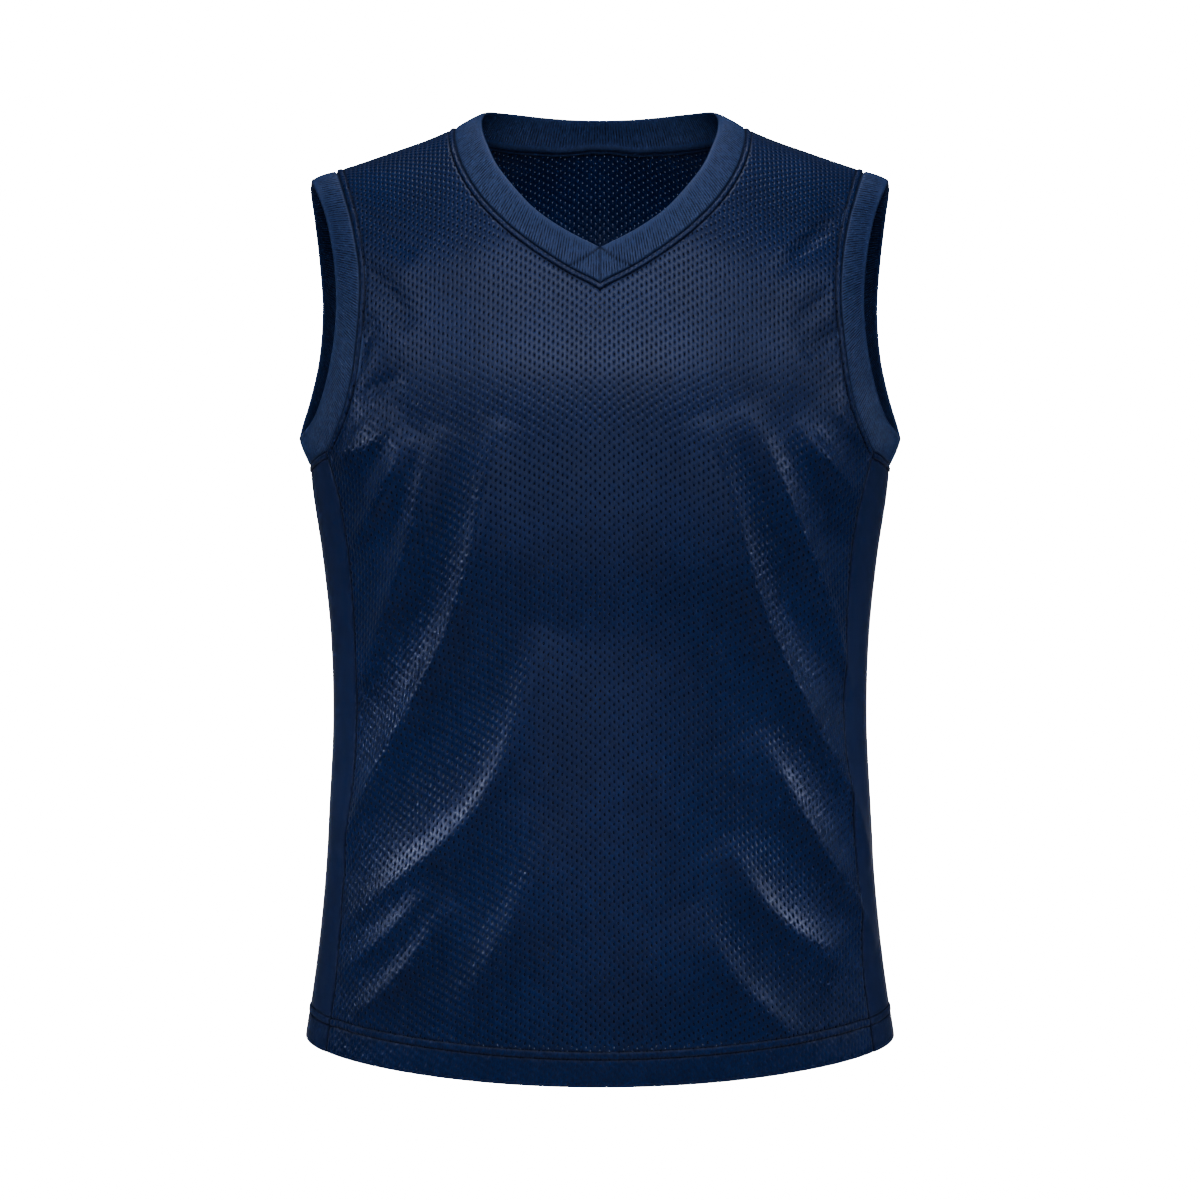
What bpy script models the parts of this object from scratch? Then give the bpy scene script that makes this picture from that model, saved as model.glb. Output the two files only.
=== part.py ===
# Sleeveless V-neck mesh jersey, filled out as when it is worn, with nobody in it.
# Metres, +Z up. The front faces -Y and +X is the wearer's left. The origin lies midway between the two
# shoulder straps, level with the middle of each strap's ridge, where the wearer carries the jersey.
#
# A place on the cloth is given in one of two ways:
#   across and run: sideways distance from the middle, and distance over the shoulder from its ridge,
#       negative down the front and positive down the back
#   bearing and height: degrees round the body from the middle of the front, positive to the wearer's
#       left, with 180 at the middle of the back, and height above the origin

import math

import bmesh
import bpy
import numpy as np

# Cloth
KNIT_WALL = 0.0012
RIB_WALL = 0.0022
HEM_WALL = 0.0022
RIB_FOLD_WALL = 0.0011
SEAM_GAP = 0.0003

# Hem
HEM_HEIGHT = 0.025
HEM_END = 0.0015
SIDE_HEM_Z = -0.6783
HEM_DIP = 0.0234
HEM_CORNER = 0.167
HEM_CORNER_POWER = 12

# Side seams and the foot of the armhole, where the seam dips below the corners of the side panel
CORNER_Z = -0.2385
CORNER_ACROSS = 0.2035
CORNER_RUN = 0.2821
ARMPIT_DROP = 0.0094
DIP_ROUNDNESS = 1.2

# Form of the body
SHOULDER_ARCH = 0.12
BEND_RUN = SHOULDER_ARCH * math.pi / 2
FRONT_SQUARENESS = 2.2
BACK_SQUARENESS = 2.5

# Grid of the panels, in faces
HALF_FRONT_COLUMNS = 18
NECK_COLUMNS_BACK = 8
SHOULDER_COLUMNS_BACK = 8
SIDE_COLUMNS = 6
SIDE_ROWS = 20
ARM_ROWS = 14
NECK_ROWS_FRONT = 11
BAND_ROWS = 4
CROWDING = 1.35
STEP = 0.0004

# Ridge of the shoulder, seen from the front
RIDGE = {
    "across": (-0.07, -0.04, 0.0, 0.04, 0.07, 0.1088, 0.1304, 0.1562, 0.1827, 0.2016, 0.2235),
    "z": (0.0245, 0.0352, 0.044, 0.0352, 0.0245, 0.0091, 0.0, -0.0091, -0.0182, -0.0243, -0.0318),
}

# Level cuts through the body, from the hem up
SECTION_COLUMNS = ("z", "half_width", "front_depth", "back_depth")
SECTIONS = (
    (-0.7050, 0.2240, 0.1185, 0.1120),
    (-0.6840, 0.2232, 0.1180, 0.1115),
    (-0.6519, 0.2187, 0.1165, 0.1100),
    (-0.6216, 0.2145, 0.1150, 0.1080),
    (-0.5609, 0.2081, 0.1125, 0.1040),
    (-0.5003, 0.2047, 0.1110, 0.1010),
    (-0.4396, 0.2020, 0.1105, 0.0990),
    (-0.3790, 0.2035, 0.1120, 0.1000),
    (-0.3184, 0.2096, 0.1190, 0.1050),
    (-0.2577, 0.2183, 0.1230, 0.1110),
    (-0.2250, 0.2204, 0.1238, 0.1130),
    (-0.1900, 0.2217, 0.1200, 0.1140),
    (-0.1200, 0.2230, 0.1000, 0.1120),
    (-0.0500, 0.2235, 0.0800, 0.1050),
    (0.0450, 0.2235, 0.0580, 0.0980),
)

# Seam between the front or back panel and a side panel
SIDE_SEAM_COLUMNS = ("z", "across")
SIDE_SEAM = (
    (-0.7050, 0.2052),
    (-0.6815, 0.2030),
    (-0.6320, 0.1965),
    (-0.5397, 0.1888),
    (-0.4933, 0.1832),
    (-0.4347, 0.1805),
    (-0.3465, 0.1836),
    (-0.2984, 0.1885),
    (-0.2695, 0.1942),
    (CORNER_Z, CORNER_ACROSS),
)

# Seam of the neck band, from the point of the V over the shoulder to the middle of the back
NECK_SEAM_COLUMNS = ("across", "run")
NECK_SEAM = (
    (0.0000, -0.2297),
    (0.0168, -0.2185),
    (0.0373, -0.2000),
    (0.0668, -0.1668),
    (0.0886, -0.1327),
    (0.1035, -0.0926),
    (0.1090, -0.0545),
    (0.1097, -0.0280),
    (0.1088, 0.0000),
    (0.1000, 0.0340),
    (0.0848, 0.0580),
    (0.0673, 0.0740),
    (0.0482, 0.0860),
    (0.0250, 0.0960),
    (0.0000, 0.0990),
)

# Row of the two neck tables that lies on the ridge of the shoulder
SHOULDER_ROW = 8

# Folded edge of the neck band, in the same order
NECK_EDGE_COLUMNS = ("x", "y", "z")
NECK_EDGE = (
    (0.0000, -0.0904, -0.0903),
    (0.0278, -0.0852, -0.0753),
    (0.0463, -0.0792, -0.0619),
    (0.0642, -0.0681, -0.0423),
    (0.0775, -0.0550, -0.0235),
    (0.0835, -0.0442, -0.0099),
    (0.0876, -0.0338, 0.0012),
    (0.0893, -0.0177, 0.0131),
    (0.0879, 0.0000, 0.0209),
    (0.0833, 0.0230, 0.0250),
    (0.0740, 0.0400, 0.0263),
    (0.0618, 0.0510, 0.0264),
    (0.0465, 0.0590, 0.0257),
    (0.0240, 0.0645, 0.0247),
    (0.0000, 0.0660, 0.0243),
)

# Seam of the armhole band down the front, from the shoulder to the side seam, and the same up the back
ARM_SEAM_COLUMNS = ("across", "run")
ARM_SEAM_FRONT = (
    (0.2004, 0.0000),
    (0.1968, -0.0436),
    (0.1912, -0.0824),
    (0.1858, -0.1116),
    (0.1803, -0.1465),
    (0.1786, -0.1791),
    (0.1814, -0.2127),
    (0.1858, -0.2431),
    (0.1904, -0.2591),
    (0.1960, -0.2706),
    (CORNER_ACROSS, -CORNER_RUN),
)
ARM_SEAM_BACK = (
    (0.2004, 0.0000),
    (0.2008, 0.0400),
    (0.2012, 0.0750),
    (0.2002, 0.1100),
    (0.1985, 0.1450),
    (0.1975, 0.1800),
    (0.1977, 0.2130),
    (0.1985, 0.2431),
    (0.1996, 0.2590),
    (0.2012, 0.2705),
    (CORNER_ACROSS, CORNER_RUN),
)

# Folded edge of the armhole band down the front, from the shoulder to the foot, and down the back
ARM_EDGE_COLUMNS = ("x", "y", "z")
ARM_EDGE_FRONT = (
    (0.2190, 0.0000, -0.0303),
    (0.2167, -0.0110, -0.0347),
    (0.2073, -0.0245, -0.0581),
    (0.2008, -0.0388, -0.0843),
    (0.1967, -0.0513, -0.1194),
    (0.1968, -0.0573, -0.1447),
    (0.1997, -0.0579, -0.1679),
    (0.2059, -0.0517, -0.1935),
    (0.2146, -0.0366, -0.2130),
    (0.2235, -0.0194, -0.2225),
    (0.2285, 0.0000, -0.2259),
)
ARM_EDGE_BACK = (
    (0.2190, 0.0000, -0.0303),
    (0.2210, 0.0140, -0.0355),
    (0.2190, 0.0250, -0.0584),
    (0.2165, 0.0380, -0.0876),
    (0.2146, 0.0470, -0.1252),
    (0.2174, 0.0460, -0.1641),
    (0.2236, 0.0350, -0.1964),
    (0.2276, 0.0190, -0.2150),
    (0.2285, 0.0000, -0.2259),
)

# Largest folds: each is a ridge, or a trough where the height is negative, along a bow through three
# places on the cloth. Looking along it from outside, it is steep on its left and gentle on its right.
FOLD_COLUMNS = ("bearing_1", "z_1", "bearing_2", "z_2", "bearing_3", "z_3", "width", "height")
FOLDS = (
    (-62, -0.251, -48, -0.235, -39, -0.212, 0.009, 0.0045),
    (-59, -0.313, -44, -0.270, -37, -0.225, 0.009, 0.0065),
    (-59, -0.415, -40, -0.316, -29, -0.222, 0.011, 0.0085),
    (-67, -0.542, -30, -0.371, -17, -0.218, 0.013, 0.0110),
    (-62, -0.593, -24, -0.503, -10, -0.370, 0.014, 0.0085),
    (-63, -0.628, -44, -0.591, -32, -0.552, 0.010, 0.0055),
    (-57, -0.666, -39, -0.618, -29, -0.567, 0.010, 0.0055),
    (-28, -0.658, -16, -0.585, -8, -0.505, 0.014, 0.0055),
    (-53, -0.092, -43, -0.119, -35, -0.148, 0.009, -0.0030),
    (-55, -0.046, -44, -0.074, -35, -0.095, 0.010, -0.0025),
    (38, -0.216, 47, -0.246, 62, -0.278, 0.009, 0.0045),
    (26, -0.207, 41, -0.299, 66, -0.417, 0.010, 0.0085),
    (18, -0.215, 36, -0.379, 77, -0.551, 0.013, 0.0105),
    (32, -0.444, 47, -0.519, 75, -0.611, 0.012, 0.0070),
    (24, -0.522, 35, -0.579, 55, -0.618, 0.014, 0.0060),
    (16, -0.570, 26, -0.629, 41, -0.679, 0.014, 0.0060),
    (56, -0.053, 46, -0.074, 37, -0.094, 0.009, -0.0025),
    (118, -0.250, 130, -0.300, 146, -0.390, 0.013, 0.0050),
    (119, -0.330, 135, -0.420, 156, -0.560, 0.014, 0.0065),
    (117, -0.480, 132, -0.545, 150, -0.640, 0.014, 0.0055),
    (118, -0.610, 128, -0.640, 140, -0.672, 0.012, 0.0040),
    (-145, -0.400, -131, -0.315, -118, -0.260, 0.013, 0.0050),
    (-158, -0.590, -136, -0.450, -119, -0.350, 0.014, 0.0065),
    (-147, -0.655, -130, -0.570, -117, -0.510, 0.014, 0.0055),
    (-176, -0.110, -179, -0.200, 176, -0.330, 0.020, -0.0035),
    (150, -0.060, 141, -0.110, 128, -0.150, 0.013, -0.0030),
    (-150, -0.060, -142, -0.105, -129, -0.145, 0.013, -0.0030),
)
FOLD_POINTS = 14
FOLD_FADE = 0.7
FOLD_GENTLE = 1.5
FOLD_STEEP = 0.85
FOLD_CREST = 0.0018

# Looks of the cloth in the views of this model
MESH_KNIT = {"colour": (0.012, 0.030, 0.100), "roughness": 0.55}
PLAIN_KNIT = {"colour": (0.010, 0.026, 0.085), "roughness": 0.60}
RIB_KNIT = {"colour": (0.014, 0.032, 0.098), "roughness": 0.70}


def column(rows, names, name):
    return np.array([row[names.index(name)] for row in rows])


def smooth(knots, values, at):
    """Value at each place of the smooth curve through the rows of a table."""
    knots = np.asarray(knots, float)
    values = np.asarray(values, float)
    at = np.asarray(at, float)
    slopes = np.gradient(values, knots)
    low = np.clip(np.searchsorted(knots, at) - 1, 0, len(knots) - 2)
    span = knots[low + 1] - knots[low]
    t = (at - knots[low]) / span
    from_low = (2 * t**3 - 3 * t**2 + 1) * values[low] + (t**3 - 2 * t**2 + t) * span * slopes[low]
    from_high = (3 * t**2 - 2 * t**3) * values[low + 1] + (t**3 - t**2) * span * slopes[low + 1]
    return from_low + from_high


def ridge(across):
    return smooth(RIDGE["across"], RIDGE["z"], np.abs(across))


def section(z):
    heights = column(SECTIONS, SECTION_COLUMNS, "z")
    names = ("half_width", "front_depth", "back_depth")
    return [smooth(heights, column(SECTIONS, SECTION_COLUMNS, name), z) for name in names]


def drop_at(run):
    """Fall below the ridge after a run over the shoulder: a quarter turn, then straight down."""
    run = np.abs(run)
    turn = np.minimum(run, BEND_RUN) / SHOULDER_ARCH
    return SHOULDER_ARCH * (1 - np.cos(turn)) + np.maximum(run - BEND_RUN, 0)


def run_at(drop):
    drop = np.maximum(drop, 0)
    turn = np.arccos(1 - np.minimum(drop, SHOULDER_ARCH) / SHOULDER_ARCH)
    return SHOULDER_ARCH * turn + np.maximum(drop - SHOULDER_ARCH, 0)


def body(across, run):
    """Place on the bare form, from across and run."""
    across = np.asarray(across, float)
    run = np.asarray(run, float)
    z = ridge(across) - drop_at(run)
    half_width, front, back = section(z)
    share = np.minimum(np.abs(across) / half_width, 1)
    front_y = -front * (1 - share**FRONT_SQUARENESS) ** (1 / FRONT_SQUARENESS)
    back_y = back * (1 - share**BACK_SQUARENESS) ** (1 / BACK_SQUARENESS)
    arch = np.sin(np.minimum(np.abs(run), BEND_RUN) / SHOULDER_ARCH)
    y = np.where(run < 0, front_y, back_y) * arch
    return np.stack(np.broadcast_arrays(across, y, z), axis=-1)


def flank(bearing, z):
    """Place on the bare form, from bearing and height."""
    bearing = np.asarray(bearing, float)
    z = np.asarray(z, float)
    in_front = np.abs(bearing) <= 90
    from_side = np.radians(np.abs(90 - np.abs(bearing)))
    power = np.where(in_front, 2 / FRONT_SQUARENESS, 2 / BACK_SQUARENESS)
    half_width, front, back = section(z)
    x = np.sign(bearing) * half_width * np.cos(from_side) ** power
    arch = np.sin(np.minimum(run_at(ridge(x) - z), BEND_RUN) / SHOULDER_ARCH)
    y = np.where(in_front, -front, back) * np.sin(from_side) ** power * arch
    return np.stack(np.broadcast_arrays(x, y, z), axis=-1)


def bearing_of(across, z, in_front):
    """Bearing on the wearer's left of a place on the front or the back."""
    share = np.minimum(across / section(z)[0], 1)
    if in_front:
        return 90 - np.degrees(np.arccos(share ** (FRONT_SQUARENESS / 2)))
    return 90 + np.degrees(np.arccos(share ** (BACK_SQUARENESS / 2)))


def unit(vectors):
    return vectors / np.linalg.norm(vectors, axis=-1, keepdims=True)


def body_normal(across, run):
    along = body(across + STEP, run) - body(across - STEP, run)
    up = body(across, run + STEP) - body(across, run - STEP)
    return unit(np.cross(along, up))


def flank_normal(bearing, z):
    turn = math.degrees(STEP / SHOULDER_ARCH)
    along = flank(bearing + turn, z) - flank(bearing - turn, z)
    up = flank(bearing, z + STEP) - flank(bearing, z - STEP)
    return unit(np.cross(along, up))


def fold_line(row):
    """Points along a fold, on the bare form, and the outward directions there."""
    fold = dict(zip(FOLD_COLUMNS, row))
    t = np.linspace(0, 1, FOLD_POINTS)
    bearings = [fold["bearing_1"], fold["bearing_2"], fold["bearing_3"]]
    turned = np.unwrap(bearings, period=360)
    heights = [fold["z_1"], fold["z_2"], fold["z_3"]]
    bearing = smooth((0, 0.5, 1), turned, t)
    bearing = (bearing + 180) % 360 - 180
    z = smooth((0, 0.5, 1), heights, t)
    return flank(bearing, z), flank_normal(bearing, z)


FOLD_LINES = [fold_line(row) for row in FOLDS]


def fold_height(places):
    """How far the folds lift each place off the bare form."""
    lift = np.zeros(places.shape[:-1])
    for row, (line, outward) in zip(FOLDS, FOLD_LINES):
        fold = dict(zip(FOLD_COLUMNS, row))
        nearest = np.full(places.shape[:-1], np.inf)
        fade = np.zeros(places.shape[:-1])
        side = np.zeros(places.shape[:-1])
        for k in range(len(line) - 1):
            way = line[k + 1] - line[k]
            t = np.clip((places - line[k]) @ way / (way @ way), 0, 1)
            offset = places - line[k] - t[..., None] * way
            gap = np.linalg.norm(offset, axis=-1)
            closer = gap < nearest
            nearest = np.where(closer, gap, nearest)
            fade = np.where(closer, np.sin(math.pi * (k + t) / (len(line) - 1)), fade)
            side = np.where(closer, offset @ np.cross(outward[k], way), side)
        fade = np.maximum(fade, 0) ** FOLD_FADE
        spread = fold["width"] * np.where(side > 0, FOLD_STEEP, FOLD_GENTLE)
        fall = np.sqrt(nearest**2 + FOLD_CREST**2) - FOLD_CREST
        lift += fold["height"] * fade * np.exp(-fall / spread)
    return lift


def shares(points):
    """Share of a line's length at each of its points."""
    steps = np.linalg.norm(np.diff(points, axis=0), axis=-1)
    lengths = np.concatenate([[0], np.cumsum(steps)])
    return lengths / lengths[-1]


def curve_at(rows, names, share):
    """Places on the smooth curve through a table's rows, at given shares of its length."""
    points = np.stack([column(rows, names, name) for name in names], axis=-1)
    knots = shares(points)
    return np.stack([smooth(knots, points[:, k], share) for k in range(points.shape[1])], axis=-1)


def from_shoulder(count):
    """Shares of a seam that starts at the shoulder, with shorter steps over the shoulder's bend."""
    return np.linspace(0, 1, count + 1) ** CROWDING


def hem_z(across):
    share = np.minimum(np.abs(across) / section(SIDE_HEM_Z)[0], 1)
    rise = (1 - HEM_CORNER) * share**2 + HEM_CORNER * share**HEM_CORNER_POWER
    return SIDE_HEM_Z - HEM_DIP * (1 - rise)


def seam_x(z):
    heights = column(SIDE_SEAM, SIDE_SEAM_COLUMNS, "z")
    return smooth(heights, column(SIDE_SEAM, SIDE_SEAM_COLUMNS, "across"), z)


def side_rows():
    """Heights of the rows on the side seam: hem, the end of its second layer, then equal steps."""
    foot = float(hem_z(seam_x(SIDE_HEM_Z)))
    hem_top = foot + HEM_HEIGHT
    above = np.linspace(hem_top + HEM_END, CORNER_Z, SIDE_ROWS - 1)
    return np.concatenate([[foot, hem_top], above])


def patch(bottom, top, inner, outer):
    """Grid of (across, run) places between four edges. Rows go up, columns go outwards."""
    u = np.linspace(0, 1, len(bottom))[None, :, None]
    v = shares(outer)[:, None, None]
    sides = (1 - u) * inner[:, None] + u * outer[:, None]
    ends = (1 - v) * bottom[None] + v * top[None]
    low = (1 - u) * bottom[0] + u * bottom[-1]
    high = (1 - u) * top[0] + u * top[-1]
    return sides + ends - (1 - v) * low - v * high


def mirrored(grid):
    """Both halves of a panel from the wearer's left half, which meet in two middle columns."""
    other = grid[:, ::-1] * np.array([-1, 1])
    return np.concatenate([other, grid], axis=1)


def panel_grid(sign, top, upper_inner, arm_seam, columns):
    """Grid of a front panel (sign -1) or back panel (sign 1), by across and run."""
    z = side_rows()
    side = np.stack([seam_x(z), sign * run_at(ridge(seam_x(z)) - z)], axis=-1)
    outer = np.concatenate([side, arm_seam[::-1][1:]])
    hem_top = 1
    outer_above = outer[hem_top:]
    across = outer_above[0, 0] * np.linspace(0, 1, columns + 1)
    line = hem_z(across) + HEM_HEIGHT
    bottom = np.stack([across, sign * run_at(ridge(across) - line)], axis=-1)
    low = float(hem_z(0)) + HEM_HEIGHT
    first = sign * float(run_at(ridge(0) - low))
    rows = len(outer_above) - (len(upper_inner) - 1)
    second = first - sign * HEM_END
    middle = np.linspace(second, upper_inner[0, 1], rows - 1)
    centre = np.stack([np.zeros(rows), np.concatenate([[first], middle])], axis=-1)
    inner = np.concatenate([centre, upper_inner[1:]])
    grid = patch(bottom, top, inner, outer_above)
    foot_across = outer[0, 0] * np.linspace(0, 1, columns + 1)
    foot = np.stack([foot_across, sign * run_at(ridge(foot_across) - hem_z(foot_across))], axis=-1)
    return mirrored(np.concatenate([foot[None], grid]))


def drawn_in(points, edge, beside):
    """Points of an edge moved towards the ones beside them by half a seam gap."""
    return points[edge] + unit(points[beside] - points[edge]) * SEAM_GAP / 2


def narrowed(points, closed=False, slit=None):
    """The grid with its edges drawn in. A slit parts the two middle columns above one of the rows."""
    result = points.copy()
    result[0] = drawn_in(result, 0, 1)
    result[-1] = drawn_in(result, -1, -2)
    if not closed:
        result[:, 0] = drawn_in(result, np.s_[:, 0], np.s_[:, 1])
        result[:, -1] = drawn_in(result, np.s_[:, -1], np.s_[:, -2])
    if slit is not None:
        right = points.shape[1] // 2
        above = np.s_[slit + 1 :]
        for column_at, beside in ((right, right + 1), (right - 1, right - 2)):
            result[slit, column_at] = drawn_in(result, (slit, column_at), (slit - 1, column_at))
            result[above, column_at] = drawn_in(result, (above, column_at), (above, beside))
    return result


def material(name, look):
    finish = bpy.data.materials.new(name)
    finish.use_nodes = True
    shader = finish.node_tree.nodes["Principled BSDF"]
    shader.inputs["Base Color"].default_value = (*look["colour"], 1)
    shader.inputs["Roughness"].default_value = look["roughness"]
    shader.inputs["Metallic"].default_value = 0
    finish.diffuse_color = (*look["colour"], 1)
    return finish


def joined_columns(work, place, columns, pairs):
    """Weld the points of one column to those of another, for (from, to, rows) in pairs."""
    by_place = {vert[place]: vert for vert in work.verts}
    targets = {}
    for start, end, rows in pairs:
        for j in rows:
            targets[by_place[j * (columns + 1) + start]] = by_place[j * (columns + 1) + end]
    bmesh.ops.weld_verts(work, targetmap=targets)


def shell(name, outer, inner, look, closed=False, slit=None):
    """Closed wall between an outer and an inner grid of points. A closed one joins its last column to
    its first. A slit opens the middle of the grid above one of its rows."""
    rows, columns = outer.shape[0] - 1, outer.shape[1] - 1
    mesh = bpy.data.meshes.new(name)
    work = bmesh.new()
    bmesh.ops.create_grid(work, x_segments=columns, y_segments=rows, size=0.5)
    place = work.verts.layers.int.new("place")
    for vert in work.verts:
        i = round((vert.co.x + 0.5) * columns)
        j = round((vert.co.y + 0.5) * rows)
        vert[place] = j * (columns + 1) + i
    if closed:
        joined_columns(work, place, columns, [(columns, 0, range(rows + 1))])
    if slit is not None:
        middle = columns // 2
        between = [face for face in work.faces if abs(face.calc_center_median().x) < 0.1 / columns]
        bmesh.ops.delete(work, geom=between, context="FACES")
        joined_columns(work, place, columns, [(middle + 1, middle, range(slit + 1))])
    outside = set(work.verts)
    bmesh.ops.extrude_face_region(work, geom=work.faces[:], use_keep_orig=True)
    for vert in work.verts:
        j, i = divmod(vert[place], columns + 1)
        vert.co = outer[j, i] if vert in outside else inner[j, i]
    bmesh.ops.recalc_face_normals(work, faces=work.faces[:])
    if work.calc_volume(signed=True) < 0:
        bmesh.ops.reverse_faces(work, faces=work.faces[:])
    work.to_mesh(mesh)
    work.free()
    mesh.shade_smooth()
    mesh.set_sharp_from_angle(angle=math.radians(50))
    piece = bpy.data.objects.new(name, mesh)
    bpy.context.scene.collection.objects.link(piece)
    mesh.materials.append(material(name, look))
    return piece


def wall_of(rows):
    """Wall thickness of each row of a panel: two layers in the hem, then one."""
    wall = np.full(rows, KNIT_WALL)
    wall[:2] = HEM_WALL
    return wall[:, None, None]


def panel(name, grid, look, slit):
    across, run = grid[..., 0], grid[..., 1]
    places = body(across, run)
    normal = body_normal(across, run)
    outer = narrowed(places + normal * fold_height(places)[..., None], slit=slit)
    return shell(name, outer, outer - normal * wall_of(len(outer)), look, slit=slit)


def side_panel(name, hand, look):
    z = side_rows()
    front = bearing_of(seam_x(z), z, True)
    back = bearing_of(seam_x(z), z, False)
    u = np.linspace(0, 1, SIDE_COLUMNS + 1)
    bearing = front[:, None] * (1 - u) + back[:, None] * u
    foot = SIDE_HEM_Z - z[0]
    dip = np.sin(math.pi * u) ** DIP_ROUNDNESS
    v = np.clip((z - z[1]) / (z[-1] - z[1]), 0, 1)[:, None]
    height = z[:, None] + dip * (foot * (1 - v) - ARMPIT_DROP * v**3)
    places = flank(hand * bearing, height)
    normal = flank_normal(hand * bearing, height)
    outer = narrowed(places + normal * fold_height(places)[..., None])
    return shell(name, outer, outer - normal * wall_of(len(outer)), look)


def band(name, seam, edge, look, closed):
    """Folded rib strip between a seam line and a folded edge, each a row of points."""
    v = np.linspace(0, 1, BAND_ROWS + 1)
    ruled = seam[None] * (1 - v[:, None, None]) + edge[None] * v[:, None, None]
    along = np.gradient(ruled, axis=1)
    if closed:
        along[:, 0] = ruled[:, 1] - ruled[:, -2]
        along[:, -1] = along[:, 0]
    out = unit(np.cross(along, (edge - seam)[None]))
    wall = np.full(BAND_ROWS + 1, RIB_WALL)
    wall[-1] = RIB_FOLD_WALL
    crown = np.sin(math.pi * v)[:, None, None] * RIB_WALL / 3
    outer = narrowed(ruled + out * crown, closed)
    outer[-1] -= out[-1] * (RIB_WALL - RIB_FOLD_WALL) / 2
    return shell(name, outer, outer - out * wall[:, None, None], look, closed)


def lifted(grid):
    """Places of (across, run) rows on the folded cloth."""
    places = body(grid[:, 0], grid[:, 1])
    return places + body_normal(grid[:, 0], grid[:, 1]) * fold_height(places)[:, None]


def neck_parts():
    """Seam line of the neck on the wearer's left: the front part, then the back part."""
    share = 1 - from_shoulder(NECK_ROWS_FRONT)[::-1]
    front = curve_at(NECK_SEAM[: SHOULDER_ROW + 1], NECK_SEAM_COLUMNS, share)
    share = np.linspace(0, 1, NECK_COLUMNS_BACK + 1)
    back = curve_at(NECK_SEAM[SHOULDER_ROW:], NECK_SEAM_COLUMNS, share)
    return front, back


def shoulder_line(start, end, count):
    across = np.linspace(start, end, count + 1)
    return np.stack([across, np.zeros(count + 1)], axis=-1)


def mirror_x(points):
    return points * np.array([-1, 1, 1])


def neck_band(look):
    front, back = neck_parts()
    seam_front = lifted(front)
    seam_back = lifted(back)
    edge_front = curve_at(NECK_EDGE[: SHOULDER_ROW + 1], NECK_EDGE_COLUMNS, shares(seam_front))
    edge_back = curve_at(NECK_EDGE[SHOULDER_ROW:], NECK_EDGE_COLUMNS, shares(seam_back))
    seam = np.concatenate([seam_front, seam_back[1:]])
    edge = np.concatenate([edge_front, edge_back[1:]])
    seam = np.concatenate([seam, mirror_x(seam)[-2::-1]])
    edge = np.concatenate([edge, mirror_x(edge)[-2::-1]])
    return band("neck_band", seam, edge, look, False)


def arm_seams():
    front = curve_at(ARM_SEAM_FRONT, ARM_SEAM_COLUMNS, from_shoulder(ARM_ROWS))
    back = curve_at(ARM_SEAM_BACK, ARM_SEAM_COLUMNS, from_shoulder(ARM_ROWS))
    return front, back


def arm_band(name, hand, look):
    front, back = arm_seams()
    flip = np.array([hand, 1])
    z = CORNER_Z
    u = np.linspace(0, 1, SIDE_COLUMNS + 1)
    start = bearing_of(seam_x(z), z, True)
    end = bearing_of(seam_x(z), z, False)
    bearing = hand * (start * (1 - u) + end * u)
    height = z - ARMPIT_DROP * np.sin(math.pi * u) ** DIP_ROUNDNESS
    foot = flank(bearing, height)
    foot = foot + flank_normal(bearing, height) * fold_height(foot)[:, None]
    seam = np.concatenate([lifted(front * flip), foot[1:-1], lifted(back * flip)[::-1]])
    half = len(front) + SIDE_COLUMNS // 2
    share_front = shares(seam[:half])
    share_back = shares(seam[half - 1:][::-1])
    edge_front = curve_at(ARM_EDGE_FRONT, ARM_EDGE_COLUMNS, share_front)
    edge_back = curve_at(ARM_EDGE_BACK, ARM_EDGE_COLUMNS, share_back)[::-1]
    edge = np.concatenate([edge_front, edge_back[1:]]) * np.array([hand, 1, 1])
    if hand < 0:
        seam, edge = seam[::-1], edge[::-1]
    return band(name, seam, edge, look, True)


def front_panel(look):
    neck, _ = neck_parts()
    top = shoulder_line(neck[-1, 0], ARM_SEAM_FRONT[0][0], HALF_FRONT_COLUMNS)
    grid = panel_grid(-1, top, neck, arm_seams()[0], HALF_FRONT_COLUMNS)
    return panel("front_panel", grid, look, len(grid) - len(neck))


def back_panel(look):
    _, neck = neck_parts()
    shoulder = shoulder_line(neck[0, 0], ARM_SEAM_BACK[0][0], SHOULDER_COLUMNS_BACK)
    top = np.concatenate([neck[::-1], shoulder[1:]])
    columns = NECK_COLUMNS_BACK + SHOULDER_COLUMNS_BACK
    grid = panel_grid(1, top, neck[-1:], arm_seams()[1], columns)
    return panel("back_panel", grid, look, len(grid) - 1)


def build():
    for old in list(bpy.data.objects):
        bpy.data.objects.remove(old, do_unlink=True)
    front_panel(MESH_KNIT)
    back_panel(MESH_KNIT)
    side_panel("side_panel_left", 1, PLAIN_KNIT)
    side_panel("side_panel_right", -1, PLAIN_KNIT)
    neck_band(RIB_KNIT)
    arm_band("arm_band_left", 1, RIB_KNIT)
    arm_band("arm_band_right", -1, RIB_KNIT)


build()
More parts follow.
